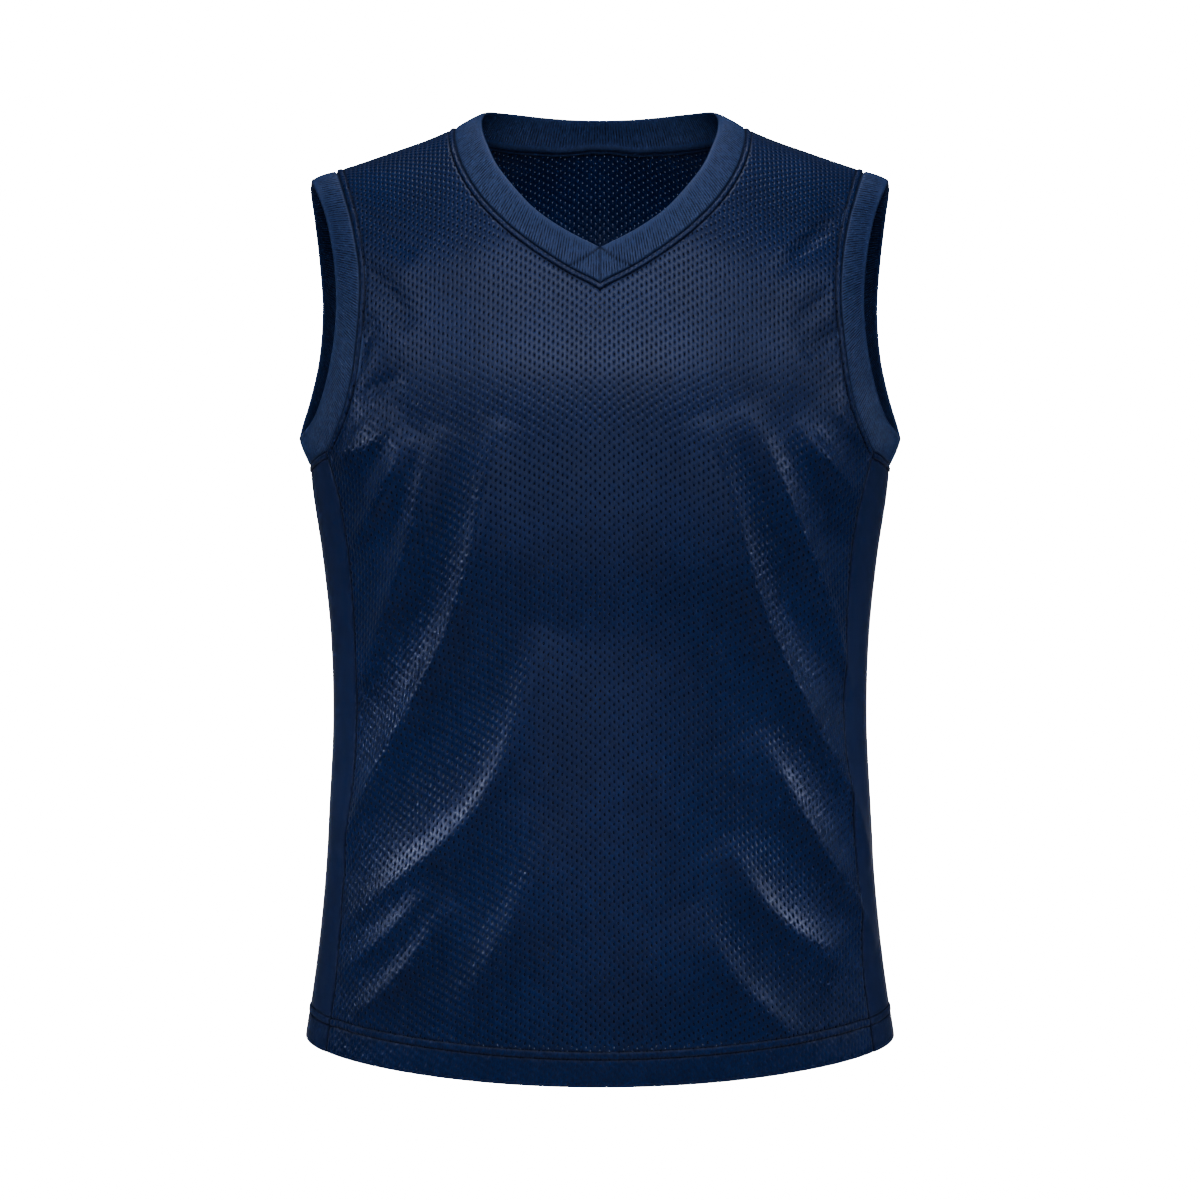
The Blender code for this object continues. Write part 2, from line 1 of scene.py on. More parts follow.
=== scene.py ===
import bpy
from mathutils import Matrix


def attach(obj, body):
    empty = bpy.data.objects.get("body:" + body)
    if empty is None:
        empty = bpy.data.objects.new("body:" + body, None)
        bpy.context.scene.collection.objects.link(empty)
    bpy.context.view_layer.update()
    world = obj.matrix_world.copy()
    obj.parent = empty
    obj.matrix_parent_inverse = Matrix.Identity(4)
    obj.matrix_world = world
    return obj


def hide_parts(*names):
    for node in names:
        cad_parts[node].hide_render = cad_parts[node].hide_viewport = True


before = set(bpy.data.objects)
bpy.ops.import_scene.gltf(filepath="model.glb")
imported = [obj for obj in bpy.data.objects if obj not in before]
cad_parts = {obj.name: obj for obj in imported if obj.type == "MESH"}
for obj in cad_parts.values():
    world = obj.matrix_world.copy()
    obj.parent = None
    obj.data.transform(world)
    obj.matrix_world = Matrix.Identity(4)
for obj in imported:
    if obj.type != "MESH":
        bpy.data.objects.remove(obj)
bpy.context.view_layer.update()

import math

import bmesh
import bpy
import numpy as np
from mathutils import Matrix, Vector

print("frame loaded")

# form of the filled-out jersey
form = {
    "arch": 0.12,  # radius of the turn over the shoulder
    "squareFront": 2.2,
    "squareBack": 2.5,
    "step": 0.0004,  # step for slopes
    "gentle": 1.5,  # spread of a fold on its two sides, and how round its crest is
    "steep": 0.85,
    "crest": 0.0018,
    "foldSteps": 14,
    "foldFade": 0.7,  # how soon a fold's ends run out
}
ridge = {  # top line of the shoulders, seen from the front
    "across": (-0.07, -0.04, 0.0, 0.04, 0.07, 0.1088, 0.1304, 0.1562, 0.1827, 0.2016, 0.2235),
    "z": (0.0245, 0.0352, 0.044, 0.0352, 0.0245, 0.0091, 0.0, -0.0091, -0.0182, -0.0243, -0.0318),
}
cuts = {  # level cuts from the hem up
    "z": (-0.705, -0.684, -0.6519, -0.6216, -0.5609, -0.5003, -0.4396, -0.379, -0.3184, -0.2577, -0.225,
          -0.19, -0.12, -0.05, 0.045),
    "half": (0.224, 0.2232, 0.2187, 0.2145, 0.2081, 0.2047, 0.202, 0.2035, 0.2096, 0.2183, 0.2204, 0.2217,
             0.223, 0.2235, 0.2235),
    "front": (0.1185, 0.118, 0.1165, 0.115, 0.1125, 0.111, 0.1105, 0.112, 0.119, 0.123, 0.1238, 0.12, 0.1,
              0.08, 0.058),
    "back": (0.112, 0.1115, 0.11, 0.108, 0.104, 0.101, 0.099, 0.1, 0.105, 0.111, 0.113, 0.114, 0.112, 0.105,
             0.098),
}
seams = {
    "sideZ": (-0.705, -0.6815, -0.632, -0.5397, -0.4933, -0.4347, -0.3465, -0.2984, -0.2695, -0.2385),
    "sideAcross": (0.2052, 0.203, 0.1965, 0.1888, 0.1832, 0.1805, 0.1836, 0.1885, 0.1942, 0.2035),
    "cornerZ": -0.2385,  # where side seam and armhole meet
    "cornerDrop": 0.0094,
    "cornerRound": 1.2,
    "hemZ": -0.6783,
    "hemDip": 0.0234,
    "hemCorner": 0.167,  # share of the dip that lies close to the sides
    # (across, run over the shoulder), run is negative down the front
    "neckFront": ((0, -0.2297), (0.0168, -0.2185), (0.0373, -0.2), (0.0668, -0.1668), (0.0886, -0.1327),
                  (0.1035, -0.0926), (0.109, -0.0545), (0.1097, -0.028), (0.1088, 0)),
    "neckBack": ((0.1088, 0), (0.1, 0.034), (0.0848, 0.058), (0.0673, 0.074), (0.0482, 0.086),
                 (0.025, 0.096), (0, 0.099)),
    "armFront": ((0.2004, 0), (0.1968, -0.0436), (0.1912, -0.0824), (0.1858, -0.1116), (0.1803, -0.1465),
                 (0.1786, -0.1791), (0.1814, -0.2127), (0.1858, -0.2431), (0.1904, -0.2591), (0.196,
                 -0.2706), (0.2035, -0.2821)),
    "armBack": ((0.2004, 0), (0.2008, 0.04), (0.2012, 0.075), (0.2002, 0.11), (0.1985, 0.145),
                (0.1975, 0.18), (0.1977, 0.213), (0.1985, 0.2431), (0.1996, 0.259), (0.2012, 0.2705),
                (0.2035, 0.2821)),
}
folds = (  # bearing and height of three places, width, height; a trough is negative
    (-62, -0.251, -48, -0.235, -39, -0.212, 0.009, 0.0045),
    (-59, -0.313, -44, -0.270, -37, -0.225, 0.009, 0.0065),
    (-59, -0.415, -40, -0.316, -29, -0.222, 0.011, 0.0085),
    (-67, -0.542, -30, -0.371, -17, -0.218, 0.013, 0.0110),
    (-62, -0.593, -24, -0.503, -10, -0.370, 0.014, 0.0085),
    (-63, -0.628, -44, -0.591, -32, -0.552, 0.010, 0.0055),
    (-57, -0.666, -39, -0.618, -29, -0.567, 0.010, 0.0055),
    (-28, -0.658, -16, -0.585, -8, -0.505, 0.014, 0.0055),
    (-53, -0.092, -43, -0.119, -35, -0.148, 0.009, -0.0030),
    (-55, -0.046, -44, -0.074, -35, -0.095, 0.010, -0.0025),
    (38, -0.216, 47, -0.246, 62, -0.278, 0.009, 0.0045),
    (26, -0.207, 41, -0.299, 66, -0.417, 0.010, 0.0085),
    (18, -0.215, 36, -0.379, 77, -0.551, 0.013, 0.0105),
    (32, -0.444, 47, -0.519, 75, -0.611, 0.012, 0.0070),
    (24, -0.522, 35, -0.579, 55, -0.618, 0.014, 0.0060),
    (16, -0.570, 26, -0.629, 41, -0.679, 0.014, 0.0060),
    (56, -0.053, 46, -0.074, 37, -0.094, 0.009, -0.0025),
    (118, -0.250, 130, -0.300, 146, -0.390, 0.013, 0.0050),
    (119, -0.330, 135, -0.420, 156, -0.560, 0.014, 0.0065),
    (117, -0.480, 132, -0.545, 150, -0.640, 0.014, 0.0055),
    (118, -0.610, 128, -0.640, 140, -0.672, 0.012, 0.0040),
    (-145, -0.400, -131, -0.315, -118, -0.260, 0.013, 0.0050),
    (-158, -0.590, -136, -0.450, -119, -0.350, 0.014, 0.0065),
    (-147, -0.655, -130, -0.570, -117, -0.510, 0.014, 0.0055),
    (-176, -0.110, -179, -0.200, 176, -0.330, 0.020, -0.0035),
    (150, -0.060, 141, -0.110, 128, -0.150, 0.013, -0.0030),
    (-150, -0.060, -142, -0.105, -129, -0.145, 0.013, -0.0030),
)
creases = (  # small ones, told as the folds are
    (-47, -0.138, -50, -0.165, -53, -0.193, 0.005, -0.0026),
    (-38, -0.189, -44, -0.191, -52, -0.200, 0.005, -0.0028),
    (-45, -0.213, -52, -0.231, -60, -0.249, 0.006, 0.0030),
    (-36, -0.228, -41, -0.255, -47, -0.283, 0.007, 0.0035),
    (48, -0.056, 40, -0.076, 31, -0.101, 0.007, 0.0022),
    (50, -0.067, 41, -0.087, 33, -0.110, 0.006, -0.0022),
    (49, -0.118, 43, -0.134, 37, -0.149, 0.005, -0.0020),
    (51, -0.150, 45, -0.161, 40, -0.171, 0.006, -0.0026),
    (41, -0.230, 48, -0.250, 56, -0.272, 0.007, 0.0032),
    (47, -0.201, 53, -0.216, 61, -0.236, 0.006, 0.0024),
)


# smooth curve through the rows of a table
def along(knots, values, at):
    knots, values, at = (np.asarray(part, float) for part in (knots, values, at))
    slopes = np.gradient(values, knots)
    low = np.clip(np.searchsorted(knots, at) - 1, 0, len(knots) - 2)
    span = knots[low + 1] - knots[low]
    t = (at - knots[low]) / span
    first = (2 * t**3 - 3 * t**2 + 1) * values[low] + (t**3 - 2 * t**2 + t) * span * slopes[low]
    last = (3 * t**2 - 2 * t**3) * values[low + 1] + (t**3 - t**2) * span * slopes[low + 1]
    return first + last


def ridgeAt(across):
    return along(ridge["across"], ridge["z"], np.abs(across))


def cutAt(z):
    return [along(cuts["z"], cuts[name], z) for name in ("half", "front", "back")]


def turnOf(run):
    return np.minimum(np.abs(run), form["arch"] * math.pi / 2) / form["arch"]


def dropAt(run):
    over = np.maximum(np.abs(run) - form["arch"] * math.pi / 2, 0)
    return form["arch"] * (1 - np.cos(turnOf(run))) + over


def runAt(drop):
    drop = np.maximum(drop, 0)
    turn = np.arccos(1 - np.minimum(drop, form["arch"]) / form["arch"])
    return form["arch"] * turn + np.maximum(drop - form["arch"], 0)


def onBody(across, run):
    across, run = np.asarray(across, float), np.asarray(run, float)
    z = ridgeAt(across) - dropAt(run)
    half, front, back = cutAt(z)
    share = np.minimum(np.abs(across) / half, 1)
    frontY = -front * (1 - share ** form["squareFront"]) ** (1 / form["squareFront"])
    backY = back * (1 - share ** form["squareBack"]) ** (1 / form["squareBack"])
    y = np.where(run < 0, frontY, backY) * np.sin(turnOf(run))
    return np.stack(np.broadcast_arrays(across, y, z), axis=-1)


def onFlank(bearing, z):
    bearing, z = np.asarray(bearing, float), np.asarray(z, float)
    isFront = np.abs(bearing) <= 90
    fromSide = np.radians(np.abs(90 - np.abs(bearing)))
    power = np.where(isFront, 2 / form["squareFront"], 2 / form["squareBack"])
    half, front, back = cutAt(z)
    x = np.sign(bearing) * half * np.cos(fromSide) ** power
    y = np.where(isFront, -front, back) * np.sin(fromSide) ** power
    y = y * np.sin(turnOf(runAt(ridgeAt(x) - z)))
    return np.stack(np.broadcast_arrays(x, y, z), axis=-1)


def bearingAt(across, z, isFront):
    share = np.minimum(across / cutAt(z)[0], 1)
    power = form["squareFront"] if isFront else form["squareBack"]
    turn = np.degrees(np.arccos(share ** (power / 2)))
    return 90 - turn if isFront else 90 + turn


# bearings between a side panel's two seams
def flankBearing(hand, z, u):
    start, end = (bearingAt(sideAt(z), z, isFront) for isFront in (True, False))
    return hand * (start * (1 - u) + end * u)


def unit(vectors):
    return vectors / np.linalg.norm(vectors, axis=-1, keepdims=True)


def slopesOf(place, a, b, stepA, stepB):
    alongA = (place(a + stepA, b) - place(a - stepA, b)) / (2 * stepA)
    alongB = (place(a, b + stepB) - place(a, b - stepB)) / (2 * stepB)
    return alongA, alongB


def bodyNormal(across, run):
    return unit(np.cross(*slopesOf(onBody, across, run, form["step"], form["step"])))


def flankNormal(bearing, z):
    turn = math.degrees(form["step"] / form["arch"])
    return unit(np.cross(*slopesOf(onFlank, bearing, z, turn, form["step"])))


def foldLine(row):
    t = np.linspace(0, 1, form["foldSteps"])
    bearing = along((0, 0.5, 1), np.unwrap([row[0], row[2], row[4]], period=360), t)
    bearing, z = (bearing + 180) % 360 - 180, along((0, 0.5, 1), (row[1], row[3], row[5]), t)
    return onFlank(bearing, z), flankNormal(bearing, z)


foldLines = [foldLine(row) for row in folds + creases]


# each fold is steep on its left, seen along it from outside, and gentle on its right
def foldLift(places):
    lift = np.zeros(places.shape[:-1])
    for row, (line, outward) in zip(folds + creases, foldLines):
        nearest, fade, side = np.full((3, *places.shape[:-1]), np.inf)
        for k in range(len(line) - 1):
            way = line[k + 1] - line[k]
            t = np.clip((places - line[k]) @ way / (way @ way), 0, 1)
            offset = places - line[k] - t[..., None] * way
            gap = np.linalg.norm(offset, axis=-1)
            closer = gap < nearest
            nearest = np.where(closer, gap, nearest)
            fade = np.where(closer, np.sin(math.pi * (k + t) / (len(line) - 1)), fade)
            side = np.where(closer, offset @ np.cross(outward[k], way), side)
        spread = row[6] * np.where(side > 0, form["steep"], form["gentle"])
        fall = np.sqrt(nearest**2 + form["crest"] ** 2) - form["crest"]
        lift += row[7] * np.maximum(fade, 0) ** form["foldFade"] * np.exp(-fall / spread)
    return lift


# how far each point lies along its line
def lengthsOf(points):
    steps = np.linalg.norm(np.diff(points, axis=0), axis=-1)
    return np.concatenate([[0], np.cumsum(steps)])


# bare places moved out by the folds and by a relief of their own
def folded(bare, normal, relief=0):
    return bare + normal * (foldLift(bare) + relief)[..., None]


def sharesOf(points):
    lengths = lengthsOf(points)
    return lengths / lengths[-1]


def tableCurve(rows, share):
    points = np.array(rows, float)
    return np.stack([along(sharesOf(points), points[:, k], share) for k in range(points.shape[1])], axis=-1)


def hemAt(across):
    share = np.minimum(np.abs(across) / cutAt(seams["hemZ"])[0], 1)
    rise = (1 - seams["hemCorner"]) * share**2 + seams["hemCorner"] * share**12
    return seams["hemZ"] - seams["hemDip"] * (1 - rise)


def sideAt(z):
    return along(seams["sideZ"], seams["sideAcross"], z)


def bump(distance, at, width):
    return np.exp(-(((distance - at) / width) ** 2))


def step(distance, at, width):
    return 0.5 + 0.5 * np.tanh((distance - at) / width)


# margins beside the seams
margin = {
    "offsets": (0, 0.0004, 0.0009, 0.0015, 0.0024, 0.0032, 0.0038, 0.0042, 0.0046, 0.0051,
                0.0058, 0.0068, 0.0082, 0.010),
    "neckStitch": 0.0043,  # from seam to topstitching
    "armStitch": 0.0048,
    "neckThread": 0.0046,  # the rows that the threads lie on
    "armThread": 0.0051,
    "allowance": 0.0045,  # how far the cloth lies in layers
    "fade": 0.022,  # where a seam's end stops leaning into its plane
    "roll": 0.0016,  # how deep the cloth turns in at a seam, and how wide
    "rollWide": 0.0008,
    "ridge": 0.0008,  # rise over the seam allowance, its start, and how soft both ends are
    "ridgeStart": 0.0011,
    "ridgeSoft": (0.0005, 0.00035),
    "groove": 0.0008,  # where the stitches pull in, just past them
    "grooveWide": 0.0006,
    "pastStitch": 0.0003,
    "shadowWide": (0.0010, 0.0007),  # at the seam and at its stitches
    "sideRoll": 0.0012,  # how deep a side seam turns in
    "sideShadow": 0.0011,
    "shoulderDip": 0.0004,
    "shoulder": (0, 0.0005, 0.0011, 0.0020, 0.0034),  # rows beside the shoulder seam
}
planes = {"level": np.array([0, 0, 1.0]), "middle": np.array([1.0, 0, 0]), "ridge": np.array([0, 1.0, 0])}


# shares of a seam from the shoulder, first steps short
def fromShoulder(length, count):
    near = np.array(margin["shoulder"]) / length
    rest = np.linspace(near[-1], 1, count - len(near) + 2)[1:]
    return np.concatenate([near, rest])


# places at each offset from a seam, towards one side; its ends stay in the planes given
def marginSteps(seam, inward, startPlane, endPlane):
    places = onBody(seam[:, 0], seam[:, 1])
    tangent = unit(np.gradient(places, axis=0))
    tangent[0] = unit(places[1] - places[0])
    tangent[-1] = unit(places[-1] - places[-2])
    side = unit(np.cross(bodyNormal(seam[:, 0], seam[:, 1]), tangent)) * inward
    length = lengthsOf(places)
    shear = np.zeros(len(seam))
    for end, plane, away in ((0, startPlane, length), (-1, endPlane, length[-1] - length)):
        lean = -(side[end] @ plane) / (tangent[end] @ plane)
        shear += lean * np.maximum(1 - away / margin["fade"], 0)
    spoke = side + tangent * shear[:, None]
    at = seam.copy()
    lines = [at.copy()]
    for near, far in zip(margin["offsets"], margin["offsets"][1:]):
        a, b = slopesOf(onBody, at[:, 0], at[:, 1], form["step"], form["step"])
        aa, ab, bb = (a * a).sum(-1), (a * b).sum(-1), (b * b).sum(-1)
        ra, rb = (a * spoke).sum(-1), (b * spoke).sum(-1)
        det = aa * bb - ab * ab
        move = np.stack([(bb * ra - ab * rb) / det, (aa * rb - ab * ra) / det], axis=-1)
        at = at + move * (far - near)
        for end in (0, -1):  # the shoulder line and the middle stay straight
            at[end] = np.where(np.abs(seam[end]) < 1e-9, 0, at[end])
        lines.append(at.copy())
    return np.array(lines)


# height of the cloth beside a seam: rolled in, raised over the allowance, pulled in at the stitches
def seamRelief(distance, stitch):
    start, end = margin["ridgeSoft"]
    lift = -margin["roll"] * bump(distance, 0, margin["rollWide"])
    rise = step(distance, margin["ridgeStart"], start) * (1 - step(distance, stitch, end))
    pull = bump(distance, stitch + margin["pastStitch"], margin["grooveWide"])
    return lift + margin["ridge"] * rise - margin["groove"] * pull


# painted shade where a place lies deep in a seam or in the pull of its stitches, from 0 to 1
def seamShadow(distance, stitch):
    atSeam, atStitch = margin["shadowWide"]
    pull = bump(distance, stitch + margin["pastStitch"], atStitch)
    return np.maximum(bump(distance, 0, atSeam), 0.9 * pull)


def sideRoll(distance):
    return margin["sideRoll"] * bump(distance, 0, margin["rollWide"])


def shoulderDip(run):
    return margin["shoulderDip"] * bump(np.abs(run), 0, margin["rollWide"])


# meshes from operators
meshing = {
    "merge": 0.00002,  # points closer than this are one
    "sliver": 0.000001,
    "samples": 400,  # faces that tell which way is out
    "arcSteps": 30,
}


def newObject(name, data):
    made = bpy.data.objects.new(name, data)
    bpy.context.scene.collection.objects.link(made)
    return made


# a flat grid, its points moved to their places and numbered
def layGrid(work, layer, places, start):
    rows, columns = places.shape[0] - 1, places.shape[1] - 1
    made = bmesh.ops.create_grid(work, x_segments=columns, y_segments=rows, size=0.5)["verts"]
    for vert in made:
        i = round((vert.co.x + 0.5) * columns)
        j = round((vert.co.y + 0.5) * rows)
        vert[layer] = start + j * (columns + 1) + i
        vert.co = places[j, i]
    return start + (rows + 1) * (columns + 1)


# turns all faces out if most of some samples point in
def faceOutwards(work, layer, outward):
    work.faces.ensure_lookup_table()
    samples = list(work.faces)[:: max(1, len(work.faces) // meshing["samples"])]
    agree = sum(1 if face.normal @ Vector(outward[face.verts[0][layer]].tolist()) > 0 else -1
                for face in samples)
    if agree < 0:
        bmesh.ops.reverse_faces(work, faces=work.faces[:])


# grids of places, with their cloth coordinates and marks, joined to one sheet of cloth
def gridPiece(name, grids, material, thickness=None, merge=meshing["merge"]):
    mesh = bpy.data.meshes.new(name)
    work = bmesh.new()
    layer = work.verts.layers.int.new("number")
    start = 0
    for grid in grids:
        start = layGrid(work, layer, grid["places"], start)
    bmesh.ops.remove_doubles(work, verts=work.verts[:], dist=merge)
    bmesh.ops.dissolve_degenerate(work, dist=meshing["sliver"], edges=work.edges[:])
    bmesh.ops.recalc_face_normals(work, faces=work.faces[:])
    faceOutwards(work, layer, np.concatenate([grid["normals"].reshape(-1, 3) for grid in grids]))
    work.to_mesh(mesh)
    work.free()
    number = np.zeros(len(mesh.vertices), int)
    mesh.attributes["number"].data.foreach_get("value", number)
    corners = np.zeros(len(mesh.loops), int)
    mesh.loops.foreach_get("vertex_index", corners)
    cloth = np.concatenate([grid["cloth"].reshape(-1, 2) for grid in grids])[number]
    mesh.uv_layers.new(name="cloth").uv.foreach_set("vector", cloth[corners].astype(np.float32).ravel())
    for mark in grids[0]["marks"]:
        values = np.concatenate([grid["marks"][mark].ravel() for grid in grids])[number]
        data = mesh.attributes.new(mark, "FLOAT", "POINT")
        data.data.foreach_set("value", values.astype(np.float32))
    mesh.attributes.remove(mesh.attributes["number"])
    mesh.shade_smooth()
    mesh.materials.append(material)
    piece = newObject(name, mesh)
    if thickness:
        wall = piece.modifiers.new("wall", "SOLIDIFY")
        wall.thickness = thickness
        wall.offset = -1
        wall.use_even_offset = False
    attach(piece, "root")
    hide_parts(name.removesuffix("_cloth"))
    return piece


# distance round the body from the middle, level, as the cloth lies
def arcAcross(across, run):
    z = ridgeAt(across) - dropAt(run)
    half, front, back = cutAt(z)
    depth = np.where(run < 0, front, back) * np.sin(turnOf(run))
    power = np.where(run < 0, form["squareFront"], form["squareBack"])[..., None]
    share = np.minimum(np.abs(across) / half, 1)[..., None] * np.linspace(0, 1, meshing["arcSteps"])
    x = share * half[..., None]
    y = depth[..., None] * (1 - share**power) ** (1 / power)
    length = np.hypot(np.diff(x, axis=-1), np.diff(y, axis=-1)).sum(-1)
    return np.sign(across) * length


# front and back panels
panels = {
    "wall": 0.0007,
    "rowsSide": 116,
    "rowsArm": 84,
    "rowsNeck": 66,
    "columns": 54,
    "columnsNeckBack": 32,
    "armLength": 0.30,  # rough lengths of the seams, which set their first steps
    "neckFrontLength": 0.262,
    "neckBackLength": 0.155,
    "side": 0.2,  # across, where the side's height is read from the hem
    "cornerRows": 3,  # rows over which the side seam turns into the armhole's, either way
    "far": 0.1,  # stands for far from the hem and from the seams
    "hemTop": 0.0300,  # first row above the hem's stitching
    "hemRows": (0, 0.0005, 0.0013, 0.0028, 0.0055, 0.009, 0.0125, 0.016, 0.018, 0.0190, 0.0195, 0.0200,
                0.0205, 0.0210, 0.0217, 0.0226, 0.0236, 0.0243, 0.0248, 0.0253, 0.0258, 0.0265, 0.0277),
    "hemStitches": (0.0200, 0.0252),
    "hemThreads": (0.0200, 0.0258),  # the rows that the threads lie on
    "turnUp": 0.0255,
    "hemEdge": 0.0006,  # how far the folded edge rounds off, and how wide
    "hemEdgeWide": 0.0007,
    "hemDouble": 0.0003,  # rise of the doubled cloth
    "hemRise": 0.0005,  # rise between the two lines of stitching
    "hemSoft": (0.0004, 0.0003),  # how soft that rise's ends are
    "hemGrooves": (0.0007, 0.0006),
    "hemGrooveWide": 0.0005,
    "hemShadows": (0.0008, 0.0007),
    "pastStitch": 0.0004,
}


def hemRelief(height):
    low, high = panels["hemStitches"]
    start, end = panels["hemSoft"]
    past, wide = panels["pastStitch"], panels["hemGrooveWide"]
    lift = panels["hemDouble"] * (1 - step(height, high, start)) - panels["hemEdge"] * bump(
        height, 0, panels["hemEdgeWide"])
    lift = lift + panels["hemRise"] * step(height, low + past, start) * (1 - step(height, high, end))
    lower, upper = panels["hemGrooves"]
    return lift - lower * bump(height, low, wide) - upper * bump(height, high + past, wide)


def hemShadow(height):
    low, high = panels["hemStitches"]
    lower, upper = panels["hemShadows"]
    return np.maximum(bump(height, low, lower), 0.9 * bump(height, high + panels["pastStitch"], upper))


# armhole and neck seams of the front (sign -1) or back, from the shoulder
def seamLines(sign):
    arm = tableCurve(seams["armFront" if sign < 0 else "armBack"],
                     fromShoulder(panels["armLength"], panels["rowsArm"]))
    if sign < 0:
        share = 1 - fromShoulder(panels["neckFrontLength"], panels["rowsNeck"])
        return arm, tableCurve(seams["neckFront"], share)
    share = fromShoulder(panels["neckBackLength"], panels["columnsNeckBack"])
    return arm, tableCurve(seams["neckBack"], share)


# a field of places between four edges
def coons(bottom, top, inner, outer):
    u = np.linspace(0, 1, len(bottom))[None, :, None]
    v = sharesOf(outer)[:, None, None]
    sides = (1 - u) * inner[:, None] + u * outer[:, None]
    ends = (1 - v) * bottom[None] + v * top[None]
    low = (1 - u) * bottom[0] + u * bottom[-1]
    high = (1 - u) * top[0] + u * top[-1]
    return sides + ends - (1 - v) * low - v * high


# side seam and then the armhole, with the rows of their margins
def outerLines(sign, arm):
    z = np.linspace(float(hemAt(panels["side"])) + panels["hemTop"], seams["cornerZ"], panels["rowsSide"] + 1)
    side = np.stack([sideAt(z), sign * runAt(ridgeAt(sideAt(z)) - z)], axis=-1)
    upArm = arm[::-1]
    sidePlaces, armPlaces = onBody(side[:, 0], side[:, 1]), onBody(upArm[:, 0], upArm[:, 1])
    split = unit(unit(sidePlaces[-1] - sidePlaces[-2]) + unit(armPlaces[1] - armPlaces[0]))
    sideLines = marginSteps(side, -sign, planes["level"], split)
    armLines = marginSteps(upArm, -sign, split, planes["ridge"])
    return np.concatenate([sideLines, armLines[:, 1:]], axis=1)


# rows of the neck's margin, the main grid's top edge and its edge at the middle and the neck
def innerLines(sign, neck, outer):
    rows = outer.shape[1] - 1
    first = sign * float(runAt(ridgeAt(0) - hemAt(0) - panels["hemTop"]))
    if sign < 0:
        neckLines = marginSteps(neck[::-1], -1, planes["middle"], planes["ridge"])
        opening = neckLines[-1]
        shoulder = np.linspace(opening[-1, 0], outer[-1, -1, 0], panels["columns"] + 1)
        topLine = np.stack([shoulder, np.zeros(len(shoulder))], axis=-1)
        centre = np.linspace(first, opening[0, 1], rows - panels["rowsNeck"] + 1)
        inner = np.concatenate([np.stack([0 * centre, centre], axis=-1), opening[1:]])
        return neckLines, topLine, inner
    neckLines = marginSteps(neck, -1, planes["ridge"], planes["middle"])
    opening = neckLines[-1]
    count = panels["columns"] - panels["columnsNeckBack"]
    shoulder = np.linspace(opening[0, 0], outer[-1, -1, 0], count + 1)[1:]
    topLine = np.concatenate([opening[::-1], np.stack([shoulder, np.zeros(count)], axis=-1)])
    near = opening[-1, 1] + np.array(margin["shoulder"])
    centre = np.concatenate([np.linspace(first, near[-1], rows - len(near) + 2), near[-2::-1]])
    return neckLines, topLine, np.stack([0 * centre, centre], axis=-1)


# rows of the hem, below a panel's first row
def hemGrid(topRow, sign):
    topHeight = ridgeAt(topRow[:, 0]) - dropAt(topRow[:, 1]) - hemAt(topRow[:, 0])
    low = float(hemAt(panels["side"]))
    narrowing = sideAt(low) / sideAt(low + panels["hemTop"]) - 1
    lines = []
    for height in panels["hemRows"]:
        share = height / panels["hemTop"]
        wide = topRow[:, 0] * (1 + narrowing * (1 - share))
        lines.append(np.stack([wide, sign * runAt(ridgeAt(wide) - hemAt(wide) - topHeight * share)], axis=-1))
    return np.array(lines)


# how high the cloth lies over a panel's grid, and how much painted shade it takes
def panelMarks(grid):
    hemRows = len(panels["hemRows"])
    edge = np.full(grid.shape[:2], panels["far"])
    edge[:, panels["columns"] + 1 :] = np.array(margin["offsets"])[-2::-1]
    height = np.full(grid.shape[:2], panels["far"])
    height[:hemRows] = np.array(panels["hemRows"])[:, None]
    above = np.arange(len(grid) - hemRows) - panels["rowsSide"]
    isArm = np.zeros(grid.shape[:2])
    isArm[hemRows:] = np.clip(0.5 + above / panels["cornerRows"] / 2, 0, 1)[:, None]
    relief = hemRelief(height) - sideRoll(edge) * (1 - isArm) - shoulderDip(grid[..., 1])
    relief = relief + seamRelief(edge, margin["armStitch"]) * isArm
    layers = np.maximum(height < panels["turnUp"], (edge < margin["allowance"]) * (isArm > 0.5)).astype(float)
    shadow = np.maximum(hemShadow(height), bump(edge, 0, margin["sideShadow"]))
    shadow = np.maximum(shadow, seamShadow(edge, margin["armStitch"]) * isArm)
    return relief, {"layers": layers, "shadow": shadow}


# the wearer's left half as (across, run), relief and marks: main grid with its hem, then the neck's margin
def halfPanel(sign):
    arm, neck = seamLines(sign)
    outer = outerLines(sign, arm)
    neckLines, topLine, inner = innerLines(sign, neck, outer)
    across = np.linspace(0, outer[-1, 0, 0], panels["columns"] + 1)
    line = hemAt(across) + panels["hemTop"]
    bottom = np.stack([across, sign * runAt(ridgeAt(across) - line)], axis=-1)
    field = coons(bottom, topLine, inner, outer[-1])
    main = np.concatenate([field, outer[-2::-1].transpose(1, 0, 2)], axis=1)
    grid = np.concatenate([hemGrid(main[0], sign), main])
    strip, stitch = neckLines.transpose(1, 0, 2), margin["neckStitch"]
    away = np.broadcast_to(np.array(margin["offsets"]), strip.shape[:2])
    relief = seamRelief(away, stitch) - shoulderDip(strip[..., 1])
    marks = {"layers": (away < stitch).astype(float), "shadow": seamShadow(away, stitch)}
    return (grid, *panelMarks(grid)), (strip, relief, marks)


# finished places of one half on the folded cloth
def clothGrid(parts, hand):
    grid, relief, marks = parts
    across, run = hand * grid[..., 0], grid[..., 1]
    bare, normal = onBody(across, run), bodyNormal(across, run)
    places = folded(bare, normal, relief)
    cloth = np.stack([arcAcross(across, run), run], axis=-1)
    return {"places": places, "normals": normal, "cloth": cloth, "marks": marks}


stitchLines = {"neck": [], "arms": [], "hem": []}


def keepStitches(kind, grid, rows, columns):
    stitchLines[kind].append((grid["places"][rows, columns], grid["normals"][rows, columns]))


